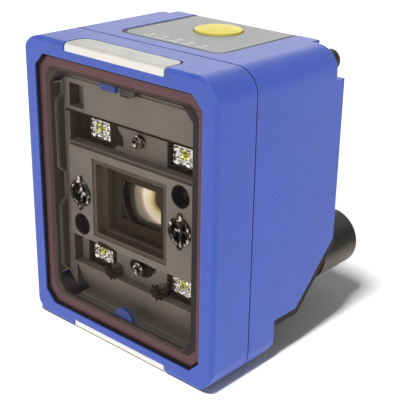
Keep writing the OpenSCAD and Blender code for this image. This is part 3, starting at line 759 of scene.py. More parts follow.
@dataclass(frozen=True)
class PlatedFinish(Finish):
    """A black-plated metal sleeve: a satin coat with wear at its edges, and a painted reflection that pales
    its underside and its top round a black middle.
    """

    plate: Colour
    bare: Colour
    under: Colour
    over: Colour
    shine: float = 0.32
    smoother: float = 0.06
    rougher: float = 0.14
    metallic: float = 0.2
    gloss: float = 0.15
    marks: float = 0.2
    stretch: Triple = (8, 1, 8)
    depth: float = 0.004
    edge: float = 0.2
    worn_and_highlit_edge: float = 0.35
    worn_patch: float = 1.6
    worn_and_highlit_share: Pair = (0, 0.8)
    worn_from: Pair = (0.4, 0.7)

    def lay(self, recipe: Recipe) -> None:
        """Lays the material's nodes.

        Args:
            recipe: The material in the making.
        """
        marks = recipe.noise(self.marks, detail=3, stretch=self.stretch)
        patches = recipe.spread(recipe.noise(self.worn_patch, detail=4), *self.worn_and_highlit_share, *self.worn_from)
        worn_and_highlit = recipe.math("MULTIPLY", recipe.edges(self.worn_and_highlit_edge), patches)
        # Painted reflection: the tone follows which way the surface looks, pale below as if from the floor
        # and a little paler on top
        rise = recipe.spread(recipe.outward()["Z"], 0, 1, -1, 1)
        reflection_bands = recipe.ramp(
            rise, (0.05, self.under), (0.5, dim(self.under, 0.45)),
            (0.6, self.plate), (0.74, self.plate), (0.9, self.over))
        recipe.set(
            Base_Color=recipe.mix(worn_and_highlit, reflection_bands, self.bare),
            Roughness=recipe.uneven(marks, self.shine - self.smoother, self.shine + self.rougher),
            Normal=recipe.bump(marks, self.depth, recipe.soft_edge(self.edge)),
            Metallic=self.metallic,
            Specular_IOR_Level=self.gloss,
        )


@dataclass(frozen=True)
class PaneFinish(Finish):
    """A flat coated pane: seen straight through, with a faint mirror that grows at low angles."""

    tint: Colour
    dark: Colour = (0.01, 0.008, 0.012)
    mirror: Pair = (0.008, 0.3)
    slant: float = 0.2
    smear: float = 6
    rough: Pair = (0.015, 0.06)
    rough_from: Pair = (0.35, 0.8)

    def lay(self, recipe: Recipe) -> None:
        """Lays the material's nodes.

        Args:
            recipe: The material in the making.
        """
        smears = recipe.noise(self.smear, detail=4)
        recipe.set(
            Base_Color=(*self.dark, 1),
            Roughness=recipe.spread(smears, *self.rough, *self.rough_from),
        )
        clear = recipe.node("ShaderNodeBsdfTransparent")
        clear.inputs["Color"].default_value = (*self.tint, 1)
        slant = recipe.node("ShaderNodeLayerWeight")
        slant.inputs["Blend"].default_value = self.slant
        blend = recipe.node("ShaderNodeMixShader")
        recipe.feed(blend.inputs["Fac"], recipe.spread(slant.outputs["Facing"], *self.mirror))
        recipe.feed(blend.inputs[1], clear.outputs["BSDF"])
        recipe.feed(blend.inputs[2], recipe.shader.outputs["BSDF"])
        recipe.feed(recipe.output.inputs["Surface"], blend.outputs["Shader"])


@dataclass(frozen=True)
class MirrorLensFinish(Finish):
    """A lamp lens with mirrored facets that flash white or dark, and the chip's colour in the middle."""

    glass: Colour
    chip: Colour
    across: float
    middle: float
    up: float
    chip_w: float = 1.5 * MM
    facet: float = 0.9
    depth: float = 0.3
    rough: Pair = (0.03, 0.12)
    metallic: float = 0.9

    def lay(self, recipe: Recipe) -> None:
        """Lays the material's nodes.

        Args:
            recipe: The material in the making.
        """
        place = recipe.split(recipe.place)
        beside = recipe.away(recipe.away(place["X"]), self.across)
        above = recipe.away(recipe.away(place["Z"], self.middle), self.up)
        on_chip = recipe.spread(recipe.math("MAXIMUM", beside, above), 1, 0, self.chip_w / 2, self.chip_w)
        facets = recipe.cells(self.facet)
        recipe.set(
            Base_Color=recipe.mix(on_chip, self.glass, self.chip),
            Roughness=recipe.spread(facets, *self.rough),
            Normal=recipe.bump(facets, self.depth),
            Metallic=self.metallic,
        )


@dataclass(frozen=True)
class FilmFinish(Finish):
    """A printed film with a satin face and a dark line painted along its sides and its rounded front, as
    painted shade of the step at its edge.
    """

    film: Colour
    line: Colour
    half_w: float
    front_y: float
    corner: float
    shade_line_w: float = 1.1 * MM
    patch: float = 5
    dark: float = 0.88
    grain: float = 0.35
    depth: float = 0.01
    rough: Pair = (0.36, 0.5)
    gloss: float = 0.15

    def lay(self, recipe: Recipe) -> None:
        """Lays the material's nodes.

        Args:
            recipe: The material in the making.
        """
        broad = recipe.noise(self.patch, detail=3)
        place = recipe.split(recipe.place)
        beside = recipe.math("SUBTRACT", recipe.away(place["X"]), self.half_w - self.corner)
        before = recipe.math("SUBTRACT", self.front_y + self.corner, place["Y"])
        squares = [recipe.math("POWER", recipe.math("MAXIMUM", side), 2) for side in (beside, before)]
        reach = recipe.math("SQRT", recipe.math("ADD", *squares))
        shade_lined = recipe.math("GREATER_THAN", reach, self.corner - self.shade_line_w)
        recipe.set(
            Base_Color=recipe.mix(shade_lined, recipe.mottled(broad, self.film, self.dark), self.line),
            Roughness=recipe.uneven(broad, *self.rough),
            Normal=recipe.bump(recipe.noise(self.grain), self.depth),
            Specular_IOR_Level=self.gloss,
        )


@dataclass(frozen=True)
class CoatedLensFinish(Finish):
    """The front of the main lens: a dark pupil off the middle, ringed by a painted reflection in cream, tan
    and violet that darkens towards the edge.
    """

    pupil: Pair
    reach: float = 20 * MM
    rings: tuple[tuple[float, Colour], ...] = (
        (0.0, tone(26, 10, 10)), (0.15, tone(40, 16, 14)), (0.19, tone(190, 164, 100)),
        (0.24, tone(236, 224, 186)), (0.34, tone(248, 246, 232)), (0.38, tone(196, 166, 158)),
        (0.42, tone(150, 142, 126)), (0.58, tone(124, 116, 101)), (0.69, tone(46, 40, 34)))
    ripple: float = 2.5
    ripple_share: Pair = (-0.02, 0.02)
    smear: float = 1.5
    rough: Pair = (0.06, 0.18)
    metallic: float = 0.6
    coat: float = 0.2
    coat_rough: float = 0.03

    def lay(self, recipe: Recipe) -> None:
        """Lays the material's nodes.

        Args:
            recipe: The material in the making.
        """
        mapping = recipe.node("ShaderNodeMapping")
        mapping.inputs["Location"].default_value = (-self.pupil[0], 0, -self.pupil[1])
        mapping.inputs["Scale"].default_value = (1, 0, 1)
        recipe.feed(mapping.inputs["Vector"], recipe.place)
        out = recipe.spread(recipe.length(mapping.outputs["Vector"]), 0, 1, 0, self.reach)
        ripple = recipe.spread(recipe.noise(self.ripple, detail=3), *self.ripple_share)
        recipe.set(
            Base_Color=recipe.ramp(recipe.math("ADD", out, ripple), *self.rings),
            Roughness=recipe.uneven(recipe.noise(self.smear, detail=4), *self.rough),
            Metallic=self.metallic,
            Coat_Weight=self.coat,
            Coat_Roughness=self.coat_rough,
        )


@dataclass(frozen=True)
class BoardFinish(Finish):
    """A circuit board: coloured mask with tracks of another tone under it."""

    mask: Colour
    track: Colour
    pitch: float = 1.6
    track_w: Pair = (0.04, 0.08)
    patch: float = 2
    rough: Pair = (0.3, 0.5)
    depth: float = 0.03

    def lay(self, recipe: Recipe) -> None:
        """Lays the material's nodes.

        Args:
            recipe: The material in the making.
        """
        tracks = recipe.cells(self.pitch, feature="DISTANCE_TO_EDGE", distance="CHEBYCHEV")
        line = recipe.spread(tracks, 1, 0, *self.track_w)
        recipe.set(
            Base_Color=recipe.mix(line, self.mask, self.track),
            Roughness=recipe.spread(recipe.noise(self.patch), *self.rough),
            Normal=recipe.bump(line, self.depth),
        )


PANE = PaneFinish("coated_pane", (0.93, 0.91, 0.89))
# The second tone is a painted shade on the upward faces of the bars and pipes
DIFFUSER = DiffuserFinish("milky_diffuser", tone(244, 242, 234), tone(186, 184, 177))
RUBBER = FoamFinish("black_rubber", tone(24, 24, 28), 0.15)
SCREW = MetalFinish("black_oxide", tone(52, 50, 50), 0.38)
# The tray's third tone is painted shade on faces that look to the side, and its second tone paints highlights
# on its edges
TRAY = TrayFinish("grey_moulding", tone(148, 144, 140), tone(206, 200, 188), tone(72, 63, 53))
CHIP = FoamFinish("phosphor", tone(236, 226, 168), 0.12)
BLACK = MouldedFinish("black_moulding", tone(34, 31, 29), 0.36)
CLIP = MouldedFinish("grey_clip", tone(84, 78, 74), 0.4)
# The hood's third tone is painted light on faces that look to the side, and its second tone paints highlights
# on its edges
HOOD = TrayFinish("dark_hood", tone(96, 87, 78), tone(156, 146, 132), tone(106, 96, 86))
# Dark brown for pieces that stand in for shade as painted shade: the lamp frames, the lamp shade, the brow
# edge, the lamp bar and the screw washer; the push nuts and their caps also take it
SHADE = MouldedFinish("lamp_shade", tone(38, 33, 26), 0.5, 0.3, 0.01, gloss=0.12)
MASK = MouldedFinish("lens_mask", tone(66, 57, 46), 0.5, 0.3, 0.01, gloss=0.12)
# Dark maroon for the tubes, a painted shade in the spot light holes
TUBE = MouldedFinish("dark_tube", tone(38, 25, 28), 0.4, 0.3, 0.006, gloss=0.15)
SMOKED = MouldedFinish("smoked_dome", tone(26, 16, 20), 0.4, 0.4, 0.003, gloss=0.15)
# Its bright patches on the aimers are painted glints
BLACK_CHROME = GlintFinish("black_chrome", tone(50, 47, 45), tone(226, 224, 220), 1.1)
PRINT = MouldedFinish("white_print", tone(214, 216, 214), 0.6, 0.12, 0.004)
LAMP_BOARD = BoardFinish("white_mask", tone(206, 206, 198), tone(176, 178, 172))
BOARD = BoardFinish("board_mask", tone(22, 84, 54), tone(60, 132, 84))
STEEL = MetalFinish("bright_steel", tone(196, 194, 190), 0.26)
BARREL = MouldedFinish("anodised_black", tone(44, 38, 32), 0.55, 0.25, 0.004, gloss=0.1)
# Its bright patches on the tray screws are painted glints
NICKEL = GlintFinish("black_nickel", tone(84, 80, 76), tone(240, 240, 238), 0.8)
SILICON = MouldedFinish("chip_case", tone(44, 44, 46), 0.42, 0.2, 0.006)
PAD = FoamFinish("heat_pad", tone(158, 162, 164), 0.2)
YELLOW = MouldedFinish("yellow_rubber", tone(248, 230, 98), 0.5, 0.3, 0.008, 0.05)
PLATE = PaintFinish("dark_plate", tone(26, 24, 21), tone(62, 55, 47), 0.5, 0.3, 0.012, 0.0, 0.15)
# The third and fourth tones are painted reflections below and on top of the sleeves
SOCKET = PlatedFinish(
    "black_plated_brass", tone(20, 18, 16), tone(150, 136, 112), tone(110, 103, 94), tone(58, 55, 51))
GOLD = MetalFinish("gold_plating", tone(222, 184, 96), 0.22)


def pick(piece: Piece) -> None:
    """Selects one object alone and makes it the active one.

    Args:
        piece: The object.
    """
    bpy.ops.object.select_all(action="DESELECT")
    piece.select_set(True)
    bpy.context.view_layer.objects.active = piece


@contextmanager
def editing(piece: Piece) -> Iterator[None]:
    """Opens a piece in edit mode and closes it again.

    Args:
        piece: The piece.

    Yields:
        Nothing, while the piece is open.
    """
    pick(piece)
    bpy.ops.object.mode_set(mode="EDIT")
    yield
    bpy.ops.object.mode_set(mode="OBJECT")


def select_faces(piece: Piece, wanted: FaceTest) -> None:
    """Selects the faces of a piece in edit mode that pass a test, and no others.

    Args:
        piece: The piece, open in edit mode.
        wanted: The test of a face.
    """
    bpy.ops.mesh.select_mode(type="FACE")
    bpy.ops.mesh.select_all(action="DESELECT")
    shape = bmesh.from_edit_mesh(piece.data)
    for face in shape.faces:
        face.select_set(wanted(face))
    bmesh.update_edit_mesh(piece.data)


def select_edges(piece: Piece, axis: int) -> None:
    """Selects the edges of a piece in edit mode that run along an axis, and no others.

    Args:
        piece: The piece, open in edit mode.
        axis: The axis, 0 to 2.
    """
    bpy.ops.mesh.select_mode(type="EDGE")
    bpy.ops.mesh.select_all(action="DESELECT")
    shape = bmesh.from_edit_mesh(piece.data)
    for edge in shape.edges:
        run = edge.verts[1].co - edge.verts[0].co
        edge.select_set(abs(run.normalized()[axis]) > ALONG)
    bmesh.update_edit_mesh(piece.data)


def facing(axis: int, sign: int, limit: float | None = None) -> FaceTest:
    """Gives a test for faces that look along an axis.

    Args:
        axis: The axis, 0 to 2.
        sign: 1 for faces that look up the axis, -1 for those that look down it.
        limit: The least place along that direction, if any, signed as the direction is.

    Returns:
        The test.
    """
    def test(face: bmesh.types.BMFace) -> bool:
        """Tells whether a face looks that way and lies far enough out."""
        placed = limit is None or face.calc_center_median()[axis] * sign > limit
        return face.normal[axis] * sign > ALONG and placed

    return test


def extrude(*step: float) -> None:
    """Extrudes the selected faces or edges by a step along x, y and z, in metres."""
    bpy.ops.mesh.extrude_region_move(TRANSFORM_OT_translate={"value": step})


def started(name: str) -> Piece:
    """Names the primitive that was just added and puts its place into its mesh.

    Args:
        name: The piece's name.

    Returns:
        The piece.
    """
    piece = bpy.context.object
    piece.name = name
    bpy.ops.object.transform_apply(location=True, rotation=True, scale=True)
    return piece


def block(name: str, low: Vector, high: Vector) -> Piece:
    """Adds a box between two corners, as the start of a piece.

    Args:
        name: The piece's name.
        low: The least corner, in metres.
        high: The greatest corner, in metres.

    Returns:
        The box, with its place in its mesh.
    """
    bpy.ops.object.select_all(action="DESELECT")
    bpy.ops.mesh.primitive_cube_add(size=1, location=(low + high) / 2, scale=high - low)
    return started(name)


def disc(name: str, middle: Vector, radius: float, sides: int, ends: Ends) -> Piece:
    """Adds a disc or a circle that faces the front, as the start of a piece.

    Args:
        name: The piece's name.
        middle: Its middle, in metres.
        radius: Its radius, in metres.
        sides: How many edges go round it.
        ends: Whether it is filled.

    Returns:
        The disc, with its place in its mesh.
    """
    bpy.ops.object.select_all(action="DESELECT")
    bpy.ops.mesh.primitive_circle_add(
        vertices=sides, radius=radius, fill_type=ends.value, location=middle, rotation=(math.pi / 2, 0, 0))
    return started(name)


def rod(name: str, middle: Vector, size: Triple, sides: int, ends: Ends = Ends.CLOSED) -> Piece:
    """Adds a round or oval rod that runs from front to back, as the start of a piece.

    Args:
        name: The piece's name.
        middle: Its middle, in metres.
        size: Its width, height and length, in metres.
        sides: How many faces go round it.
        ends: Whether its ends are filled.

    Returns:
        The rod, with its place in its mesh.
    """
    bpy.ops.object.select_all(action="DESELECT")
    bpy.ops.mesh.primitive_cylinder_add(
        vertices=sides, radius=0.5, depth=1, end_fill_type=ends.value,
        location=middle, rotation=(math.pi / 2, 0, 0), scale=size)
    return started(name)


def round_edges(piece: Piece, width: float, segments: int = 2) -> None:
    """Rounds the sharp edges of a piece.

    Args:
        piece: The piece.
        width: The width of the rounding, in metres.
        segments: How many faces it has.
    """
    pick(piece)
    bevel = piece.modifiers.new("round_edges", "BEVEL")
    bevel.width = width
    bevel.segments = segments
    bevel.limit_method = "ANGLE"
    bpy.ops.object.modifier_apply(modifier=bevel.name)


def thicken(piece: Piece, wall: float, offset: float = -1) -> None:
    """Gives an open sheet a wall.

    Args:
        piece: The sheet.
        wall: The wall's thickness, in metres.
        offset: Where the sheet lies in it, from -1 outside to 1 inside.
    """
    pick(piece)
    made = piece.modifiers.new("wall", "SOLIDIFY")
    made.thickness = wall
    made.offset = offset
    made.use_even_offset = True
    bpy.ops.object.modifier_apply(modifier=made.name)


def ring(name: str, low: Vector, high: Vector, wall: float, cut: float = 0.0) -> Piece:
    """Makes a frame that is open from front to back.

    Args:
        name: The piece's name.
        low: The least corner of its outside, in metres.
        high: The greatest corner of its outside, in metres.
        wall: The width of its bars, in metres.
        cut: How far its four corners are cut off, in metres.

    Returns:
        The frame.
    """
    piece = block(name, low, high)
    with editing(piece):
        if cut > 0:
            select_edges(piece, 1)
            bpy.ops.mesh.bevel(offset=cut, segments=1)
        select_faces(piece, lambda face: abs(face.normal.y) > ALONG)
        bpy.ops.mesh.delete(type="FACE")
    thicken(piece, wall)
    return piece


def repeat(first: Piece, *shifts: Vector) -> list[Piece]:
    """Copies a piece, mesh and all, once to each of some places.

    Args:
        first: The piece to copy, whose name ends in 1.
        shifts: How far each copy moves, in metres.

    Returns:
        The piece and its copies, which are numbered on from it.
    """
    pieces = [first]
    for number, shift in enumerate(shifts, 2):
        pick(first)
        bpy.ops.object.duplicate(linked=False)
        bpy.context.object.location = shift
        pieces.append(started(f"{first.name[:-1]}{number}"))
    return pieces


class SubAssembly:
    """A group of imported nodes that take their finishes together, with pieces added to them."""

    def dress(self, finish: Finish, *names: str) -> None:
        """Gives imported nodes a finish.

        Args:
            finish: The finish, made here.
            names: The nodes.
        """
        material = finish.make()
        for name in names:
            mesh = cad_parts[name].data
            mesh.materials.clear()
            mesh.materials.append(material)
            LOG.info("%s takes %s", name, finish.name)

    def settle(self, finish: Finish, slot: str, *pieces: Piece, body: Body = Body.READER) -> None:
        """Finishes new pieces: their material, their smooth faces and their body.

        Args:
            finish: The finish, made here unless it is there already.
            slot: The record's material slot, which is not used.
            pieces: The new pieces.
            body: The body that they ride on.
        """
        material = bpy.data.materials.get(finish.name) or finish.make()
        for piece in pieces:
            piece.data.materials.clear()
            piece.data.materials.append(material)
            pick(piece)
            bpy.ops.object.shade_smooth_by_angle(angle=SHARP)
            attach(piece, body.value)
            LOG.info("%s rides on %s", piece.name, body.value)


@dataclass
class Housing(SubAssembly):
    """The blue front frame and rear housing with their seal and screws."""

    shade_from: float = 13 * MM
    shade_d: float = 14 * MM
    strip_gap: float = 0.6 * MM
    strip_lap: float = 0.1 * MM

    def build(self) -> None:
        """Dresses the two castings and what holds them together."""
        low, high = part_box("window_strip")
        # The inner corners behind the window take a dark tone instead of the blue: a painted shade
        paint = CornerShadePaintFinish(
            "cast_blue_paint", tone(34, 73, 186), tone(100, 124, 206), sheen=0.4, bare=tone(62, 56, 70),
            inner_x=self.shade_from, outer_x=high.x + self.strip_gap,
            front_y=high.y - self.strip_lap, back_y=high.y + self.shade_d,
            low_z=low.z - self.strip_gap, high_z=high.z + self.strip_gap)
        self.dress(paint, "front_bezel", "rear_housing")
        self.dress(RUBBER, "seam_gasket")
        self.dress(SCREW, "upper_screws", "lower_screws")


@dataclass
class Window(SubAssembly):
    """The pane in front of the optics, the strip that seals it and the bead round its edge."""

    bead_out: float = 0.48 * MM
    bead_w: float = 0.36 * MM
    bead_in: float = 0.2 * MM
    bead_back: float = 0.05 * MM
    bead_edge: float = 0.08 * MM
    skin_d: float = 0.8 * MM
    foam: Colour = tone(128, 92, 102)
    corner_cut: float = 3.2 * MM

    def build(self) -> None:
        """Dresses the pane and its strip, and lays the bead."""
        low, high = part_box("window_strip")
        half = (high - low) / 2
        # The inner band's tones are painted shade, darkest on the right as a painted shadow of the gap there
        strip = StripFinish(
            "mauve_foam", self.foam, lip=tone(80, 66, 62), right_shadow_lip=tone(38, 28, 36),
            half_w=half.x, half_h=half.z, middle=(low.z + high.z) / 2)
        self.dress(PANE, "window_pane")
        self.dress(strip, "window_strip")
        self.bead(low, high)

    def bead(self, strip_low: Vector, strip_high: Vector) -> None:
        """Lays a black sealing bead between the pane's edge and the frame.

        Args:
            strip_low: The least corner of the sealing strip.
            strip_high: The greatest corner of the sealing strip.
        """
        grow = Vector((self.bead_out, 0, self.bead_out))
        low = strip_low - grow
        high = strip_high + grow
        low.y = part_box("window_pane")[0].y + self.bead_in
        high.y = strip_high.y - self.bead_back
        piece = ring("pane_bead", low, high, self.bead_w, self.corner_cut)
        round_edges(piece, self.bead_edge)
        finish = BeadFinish(
            "two_tone_bead", self.foam, skin=tone(20, 18, 18), split_y=low.y + self.skin_d)
        self.settle(finish, "seal_black", piece)


@dataclass
class LightBars(SubAssembly):
    """The two milky bars that glow with the reader's state."""

    def build(self) -> None:
        """Dresses the bars and the boards."""
        self.dress(DIFFUSER, "top_light_bar", "bottom_light_bar")
        self.dress(
            BOARD, "bar_led_strips", "sensor_board", "processor_board", "key_board", "interface_board")


@dataclass
class Optics(SubAssembly):
    """The lighting tray, its lamps and the lens behind the window."""

    edge: float = 0.06 * MM
    pupil_x: float = 6.9 * MM
    pupil_z: float = 3.3 * MM
    front_edge: float = 0.3 * MM
    front_gap: float = 0.05 * MM
    front_bulge: float = 1.7 * MM
    front_t: float = 0.3 * MM
    front_rings: int = 8
    front_sides: int = 64
    front_share: float = 0.95
    mask_back: float = 1.8 * MM
    mask_side: float = 2.75 * MM
    mask_top: float = 1.95 * MM
    mask_w: float = 3.3 * MM
    mask_t: float = 0.3 * MM
    mask_edge: float = 0.1 * MM
    lens_w: float = 8.2 * MM
    lens_h: float = 6.4 * MM
    lens_in: float = 0.1 * MM
    facets: int = 4
    facet_in: float = 0.42 * MM
    facet_h: float = 0.6 * MM
    cup_wall: float = 1.2 * MM
    cup_d: float = 0.9 * MM
    trough_floor: float = 2.0 * MM
    trough_h: float = 8.6 * MM
    frame_gap: float = 0.05 * MM
    frame_w: float = 1.15 * MM
    frame_t: float = 0.3 * MM
    shade_left: float = 4.6 * MM
    tail_l: float = 3.4 * MM
    tail_drop: float = 0.9 * MM
    tail_shares: Pair = (0.45, 0.6)
    brow_in: float = 8.6 * MM
    brow_y: float = 2.35 * MM
    brow_out: float = 0.15 * MM
    brow_d: float = 1.2 * MM
    brow_t: float = 0.5 * MM
    brow_rim: float = 0.15 * MM
    brow_lip: float = 0.12 * MM
    tube_x: float = 17.7 * MM
    tube_z: float = 8.9 * MM
    tube_r: float = 2.95 * MM
    tube_wall: float = 0.25 * MM
    tube_front: float = 1.7 * MM
    tube_back: float = 2.7 * MM
    tube_edge: float = 0.08 * MM
    round_sides: int = 40
    latch_x: float = -1.3 * MM
    latch_w: float = 2.9 * MM
    latch_top: float = 3.4 * MM
    latch_d: float = 1.9 * MM
    latch_h: float = 2.9 * MM
    latch_rim: float = 0.3 * MM
    latch_edge: float = 0.12 * MM
    hook_l: float = 1.74 * MM
    hook_shares: Triple = (1, 0.7, 0.5)
    cap_r: float = 1.05 * MM
    cap_t: float = 0.62 * MM
    cap_wall: float = 0.1 * MM
    cap_edge: float = 0.04 * MM
    cap_sides: int = 24
    head_t: float = 1.4 * MM
    washer_w: float = 8.2 * MM
    washer_h: float = 4.6 * MM
    washer_t: float = 0.35 * MM
    washer_dish: float = 0.21 * MM
    ear_t: float = 0.5 * MM
    bar_lap: float = 0.9 * MM
    bar_l: float = 6.2 * MM
    bar_h: float = 1.1 * MM
    bar_t: float = 0.25 * MM
    bar_d: float = 0.35 * MM
    bar_share: float = 0.5

    def build(self) -> None:
        """Dresses the tray, the lamps, the lens and what carries them, and adds their trim."""
        for finish, names in (
                (TRAY, ("illuminator_tray",)),
                (CHIP, ("led_chips", "status_chips")),
                (BLACK_CHROME, ("aimers",)),
                (SMOKED, ("spot_lights",)),
                (DIFFUSER, ("status_pipes",)),
                (HOOD, ("aperture_frame", "optics_carrier")),
                (STEEL, ("front_spacers", "rear_spacers", "stack_screws", "button_clip", "board_screws",
                         "panel_screws", "clip_right", "clip_left")),
                (BARREL, ("lens_barrel", "lens_ring")),
                (SHADE, ("push_nuts",)),
                (NICKEL, ("tray_screws",)),
                (SILICON, ("image_sensor", "processor", "key_switch", "switch_plunger")),
                (PAD, ("thermal_pad",)),
                (LAMP_BOARD, ("led_board",))):
            self.dress(finish, *names)
        for add in (
                self.front_lens, self.lens_mask, self.lamp_lenses, self.lamp_frames, self.lamp_shade,
                self.brow_edge, self.spot_tubes, self.latch, self.nut_caps, self.screw_washer, self.lamp_bar):
            add()

    def front_lens(self) -> None:
        """Models the shallow front lens that closes the mouth of the lens barrel."""
        low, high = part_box("lens_barrel")
        middle = (low + high) / 2
        # The coat's pale zone round the pupil is a painted reflection
        coat = CoatedLensFinish("coated_lens_front", (middle.x + self.pupil_x, middle.z + self.pupil_z))
        self.dress(coat, "lens_glass")
        radius = (high.x - low.x) / 2 - self.front_edge
        rim = Vector((middle.x, low.y - self.front_gap - self.front_t, middle.z))
        curve = (radius ** 2 + self.front_bulge ** 2) / (2 * self.front_bulge)
        step = self.front_share * radius / self.front_rings
        piece = disc("front_lens", rim, radius, self.front_sides, Ends.CLOSED)
        with editing(piece):
            bpy.ops.mesh.select_all(action="SELECT")
            for number in range(self.front_rings):
                outer = radius - number * step
                rise = math.sqrt(curve ** 2 - (outer - step) ** 2) - math.sqrt(curve ** 2 - outer ** 2)
                bpy.ops.mesh.inset(thickness=step, depth=rise)
        thicken(piece, self.front_t)
        self.settle(coat, "lens_clear", piece)

    def lens_mask(self) -> None:
        """Models the dark square mask on the back wall of the hood, in front of the lens."""
        low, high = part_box("aperture_frame")
        back = high.y - self.mask_back
        least = Vector((low.x + self.mask_side, back - self.mask_t, low.z + self.mask_top))
        greatest = Vector((high.x - self.mask_side, back, high.z - self.mask_top))
        piece = ring("lens_mask", least, greatest, self.mask_w)
        round_edges(piece, self.mask_edge)
        self.settle(MASK, "carrier_dark", piece)

    def lamp_lenses(self) -> None:
        """Models one faceted lamp lens and copies it to the four lamps."""
        low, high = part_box("led_lenses")
        across = high.x - low.x - self.lens_w
        up = high.z - low.z - self.lens_h
        finish = MirrorLensFinish(
            "mirrored_lamp_lens", (0.92, 0.93, 0.91), tone(222, 224, 120),
            across / 2, (low.z + high.z) / 2, up / 2)
        self.dress(finish, "led_lenses")
        start = high.y - self.trough_floor + self.lens_in + self.facet_h
        front = Vector((low.x, start, low.z))
        first = block("lamp_lens_1", front, front + Vector((self.lens_w, high.y - start, self.lens_h)))
        with editing(first):
            select_faces(first, facing(1, -1))
            bpy.ops.mesh.subdivide(number_cuts=self.facets - 1)
            bpy.ops.mesh.inset(thickness=self.facet_in, depth=self.facet_h, use_individual=True)
            select_faces(first, facing(1, 1))
            bpy.ops.mesh.inset(thickness=self.cup_wall, depth=-self.cup_d)
        round_edges(first, self.edge, 1)
        lenses = repeat(first, Vector((across, 0, 0)), Vector((0, 0, up)), Vector((across, 0, up)))
        self.settle(finish, "lens_clear", *lenses)
        for lens in lenses:
            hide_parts("led_lenses")

    def lamp_corner(self, side: int, row: int) -> tuple[Vector, Vector]:
        """Gives the box of one lamp lens on the floor of its trough.

        Args:
            side: -1 for the left, 1 for the right.
            row: -1 for the lower row, 1 for the upper.

        Returns:
            The least and the greatest corner, with the frame's thickness as their depth.
        """
        low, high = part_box("led_lenses")
        left = low.x if side < 0 else high.x - self.lens_w
        bottom = low.z if row < 0 else high.z - self.lens_h
        floor = high.y - self.trough_floor
        least = Vector((left, floor - self.frame_t, bottom))
        return least, least + Vector((self.lens_w, self.frame_t, self.lens_h))

    def lamp_frames(self) -> None:
        """Models the black frame round a lamp lens and copies it to the lower lamps: a painted shade of the
        recess round each lens.
        """
        low, high = self.lamp_corner(1, 1)
        grow = Vector((self.frame_gap + self.frame_w, 0, self.frame_gap + self.frame_w))
        first = ring("lamp_frame_1", low - grow, high + grow, self.frame_w)
        round_edges(first, self.edge, 1)
        shifts = [self.lamp_corner(side, -1)[0] - low for side in (1, -1)]
        self.settle(SHADE, "carrier_dark", *repeat(first, *shifts))

    def lamp_shade(self) -> None:
        """Models a dark sheet round the upper left lamp, which runs out into a tail: a painted shade of the
        deep trough there.
        """
        low, high = self.lamp_corner(-1, 1)
        spare = (self.trough_h - self.lens_h) / 2 - self.frame_gap
        grow = Vector((spare, 0, spare))
        piece = ring("lamp_shade", low - grow, high + grow, spare - self.frame_gap)
        with editing(piece):
            select_faces(piece, facing(0, -1, spare - low.x - HAIR))
            extrude(-self.shade_left, 0, 0)
            select_faces(piece, facing(0, 1, high.x + spare - HAIR))
            for share in self.tail_shares:
                extrude(self.tail_l / 2, 0, -self.tail_drop)
                bpy.ops.transform.resize(value=(1, 1, share))
        round_edges(piece, self.edge, 1)
        self.settle(SHADE, "carrier_dark", piece)

    def brow_edge(self) -> None:
        """Models a dark strip along the lower edge of the tray's upper face: a painted shadow under that
        edge.
        """
        strip_low, strip_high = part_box("window_strip")
        half = (strip_high.x - strip_low.x - self.brow_in) / 2
        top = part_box("led_lenses")[1].z - self.lens_h / 2 + self.trough_h / 2
        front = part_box("illuminator_tray")[0].y + self.brow_y - self.brow_out
        low = Vector((-half, front, top - self.brow_t))
        piece = block("brow_edge", low, Vector((half, front + self.brow_d, top)))
        with editing(piece):
            select_faces(piece, facing(2, -1))
            bpy.ops.mesh.inset(thickness=self.brow_rim, depth=self.brow_lip)
        round_edges(piece, self.edge, 1)
        self.settle(SHADE, "carrier_dark", piece)

    def spot_tubes(self) -> None:
        """Models the dark tube in front of a spot light and copies it to the other one: a painted shade
        inside the holes.
        """
        tray_low, tray_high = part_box("illuminator_tray")
        lens_low, lens_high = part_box("led_lenses")
        front = tray_low.y + self.tube_front
        back = tray_high.y - self.tube_back
        middle = Vector((self.tube_x, (front + back) / 2, (lens_low.z + lens_high.z) / 2 + self.tube_z))
        size = (2 * self.tube_r, 2 * self.tube_r, back - front)
        first = rod("spot_tube_1", middle, size, self.round_sides, Ends.OPEN)
        thicken(first, self.tube_wall)
        round_edges(first, self.tube_edge)
        shift = Vector((-2 * self.tube_x, 0, -2 * self.tube_z))
        self.settle(TUBE, "black_plastic", *repeat(first, shift))

    def latch(self) -> None:
        """Models the black latch that hangs from the tray's upper rim beside the tab."""
        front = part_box("illuminator_tray")[0].y + self.brow_y
        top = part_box("window_strip")[1].z - self.latch_top
        low = Vector((self.latch_x, front - self.latch_d, top - self.latch_h))
        high = low + Vector((self.latch_w, self.latch_d, self.latch_h))
        piece = block("tray_latch", low, high)
        looks_front = facing(1, -1)
        with editing(piece):
            select_faces(piece, facing(0, 1))
            extrude(self.hook_l, 0, 0)
            bpy.ops.transform.resize(value=self.hook_shares)
            select_faces(piece, lambda face: looks_front(face) and face.calc_center_median().x < high.x)
            bpy.ops.mesh.inset(thickness=self.latch_rim, depth=-self.latch_rim)
        round_edges(piece, self.latch_edge)
        self.settle(CLIP, "black_plastic", piece)

    def nut_caps(self) -> None:
        """Models the dark cap over the pin in a push nut and copies it to the other nut."""
        low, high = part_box("push_nuts")
        reach = (high.z - low.z) / 2
        middle = Vector((low.x + reach, low.y - self.cap_t / 2, low.z + reach))
        first = rod("nut_cap_1", middle, (2 * self.cap_r, 2 * self.cap_r, self.cap_t), self.cap_sides)
        with editing(first):
            select_faces(first, facing(1, 1))
            bpy.ops.mesh.delete(type="FACE")
        thicken(first, self.cap_wall)
        round_edges(first, self.cap_edge)
        shift = Vector((high.x - low.x - 2 * reach, 0, 0))
        self.settle(SHADE, "black_plastic", *repeat(first, shift))

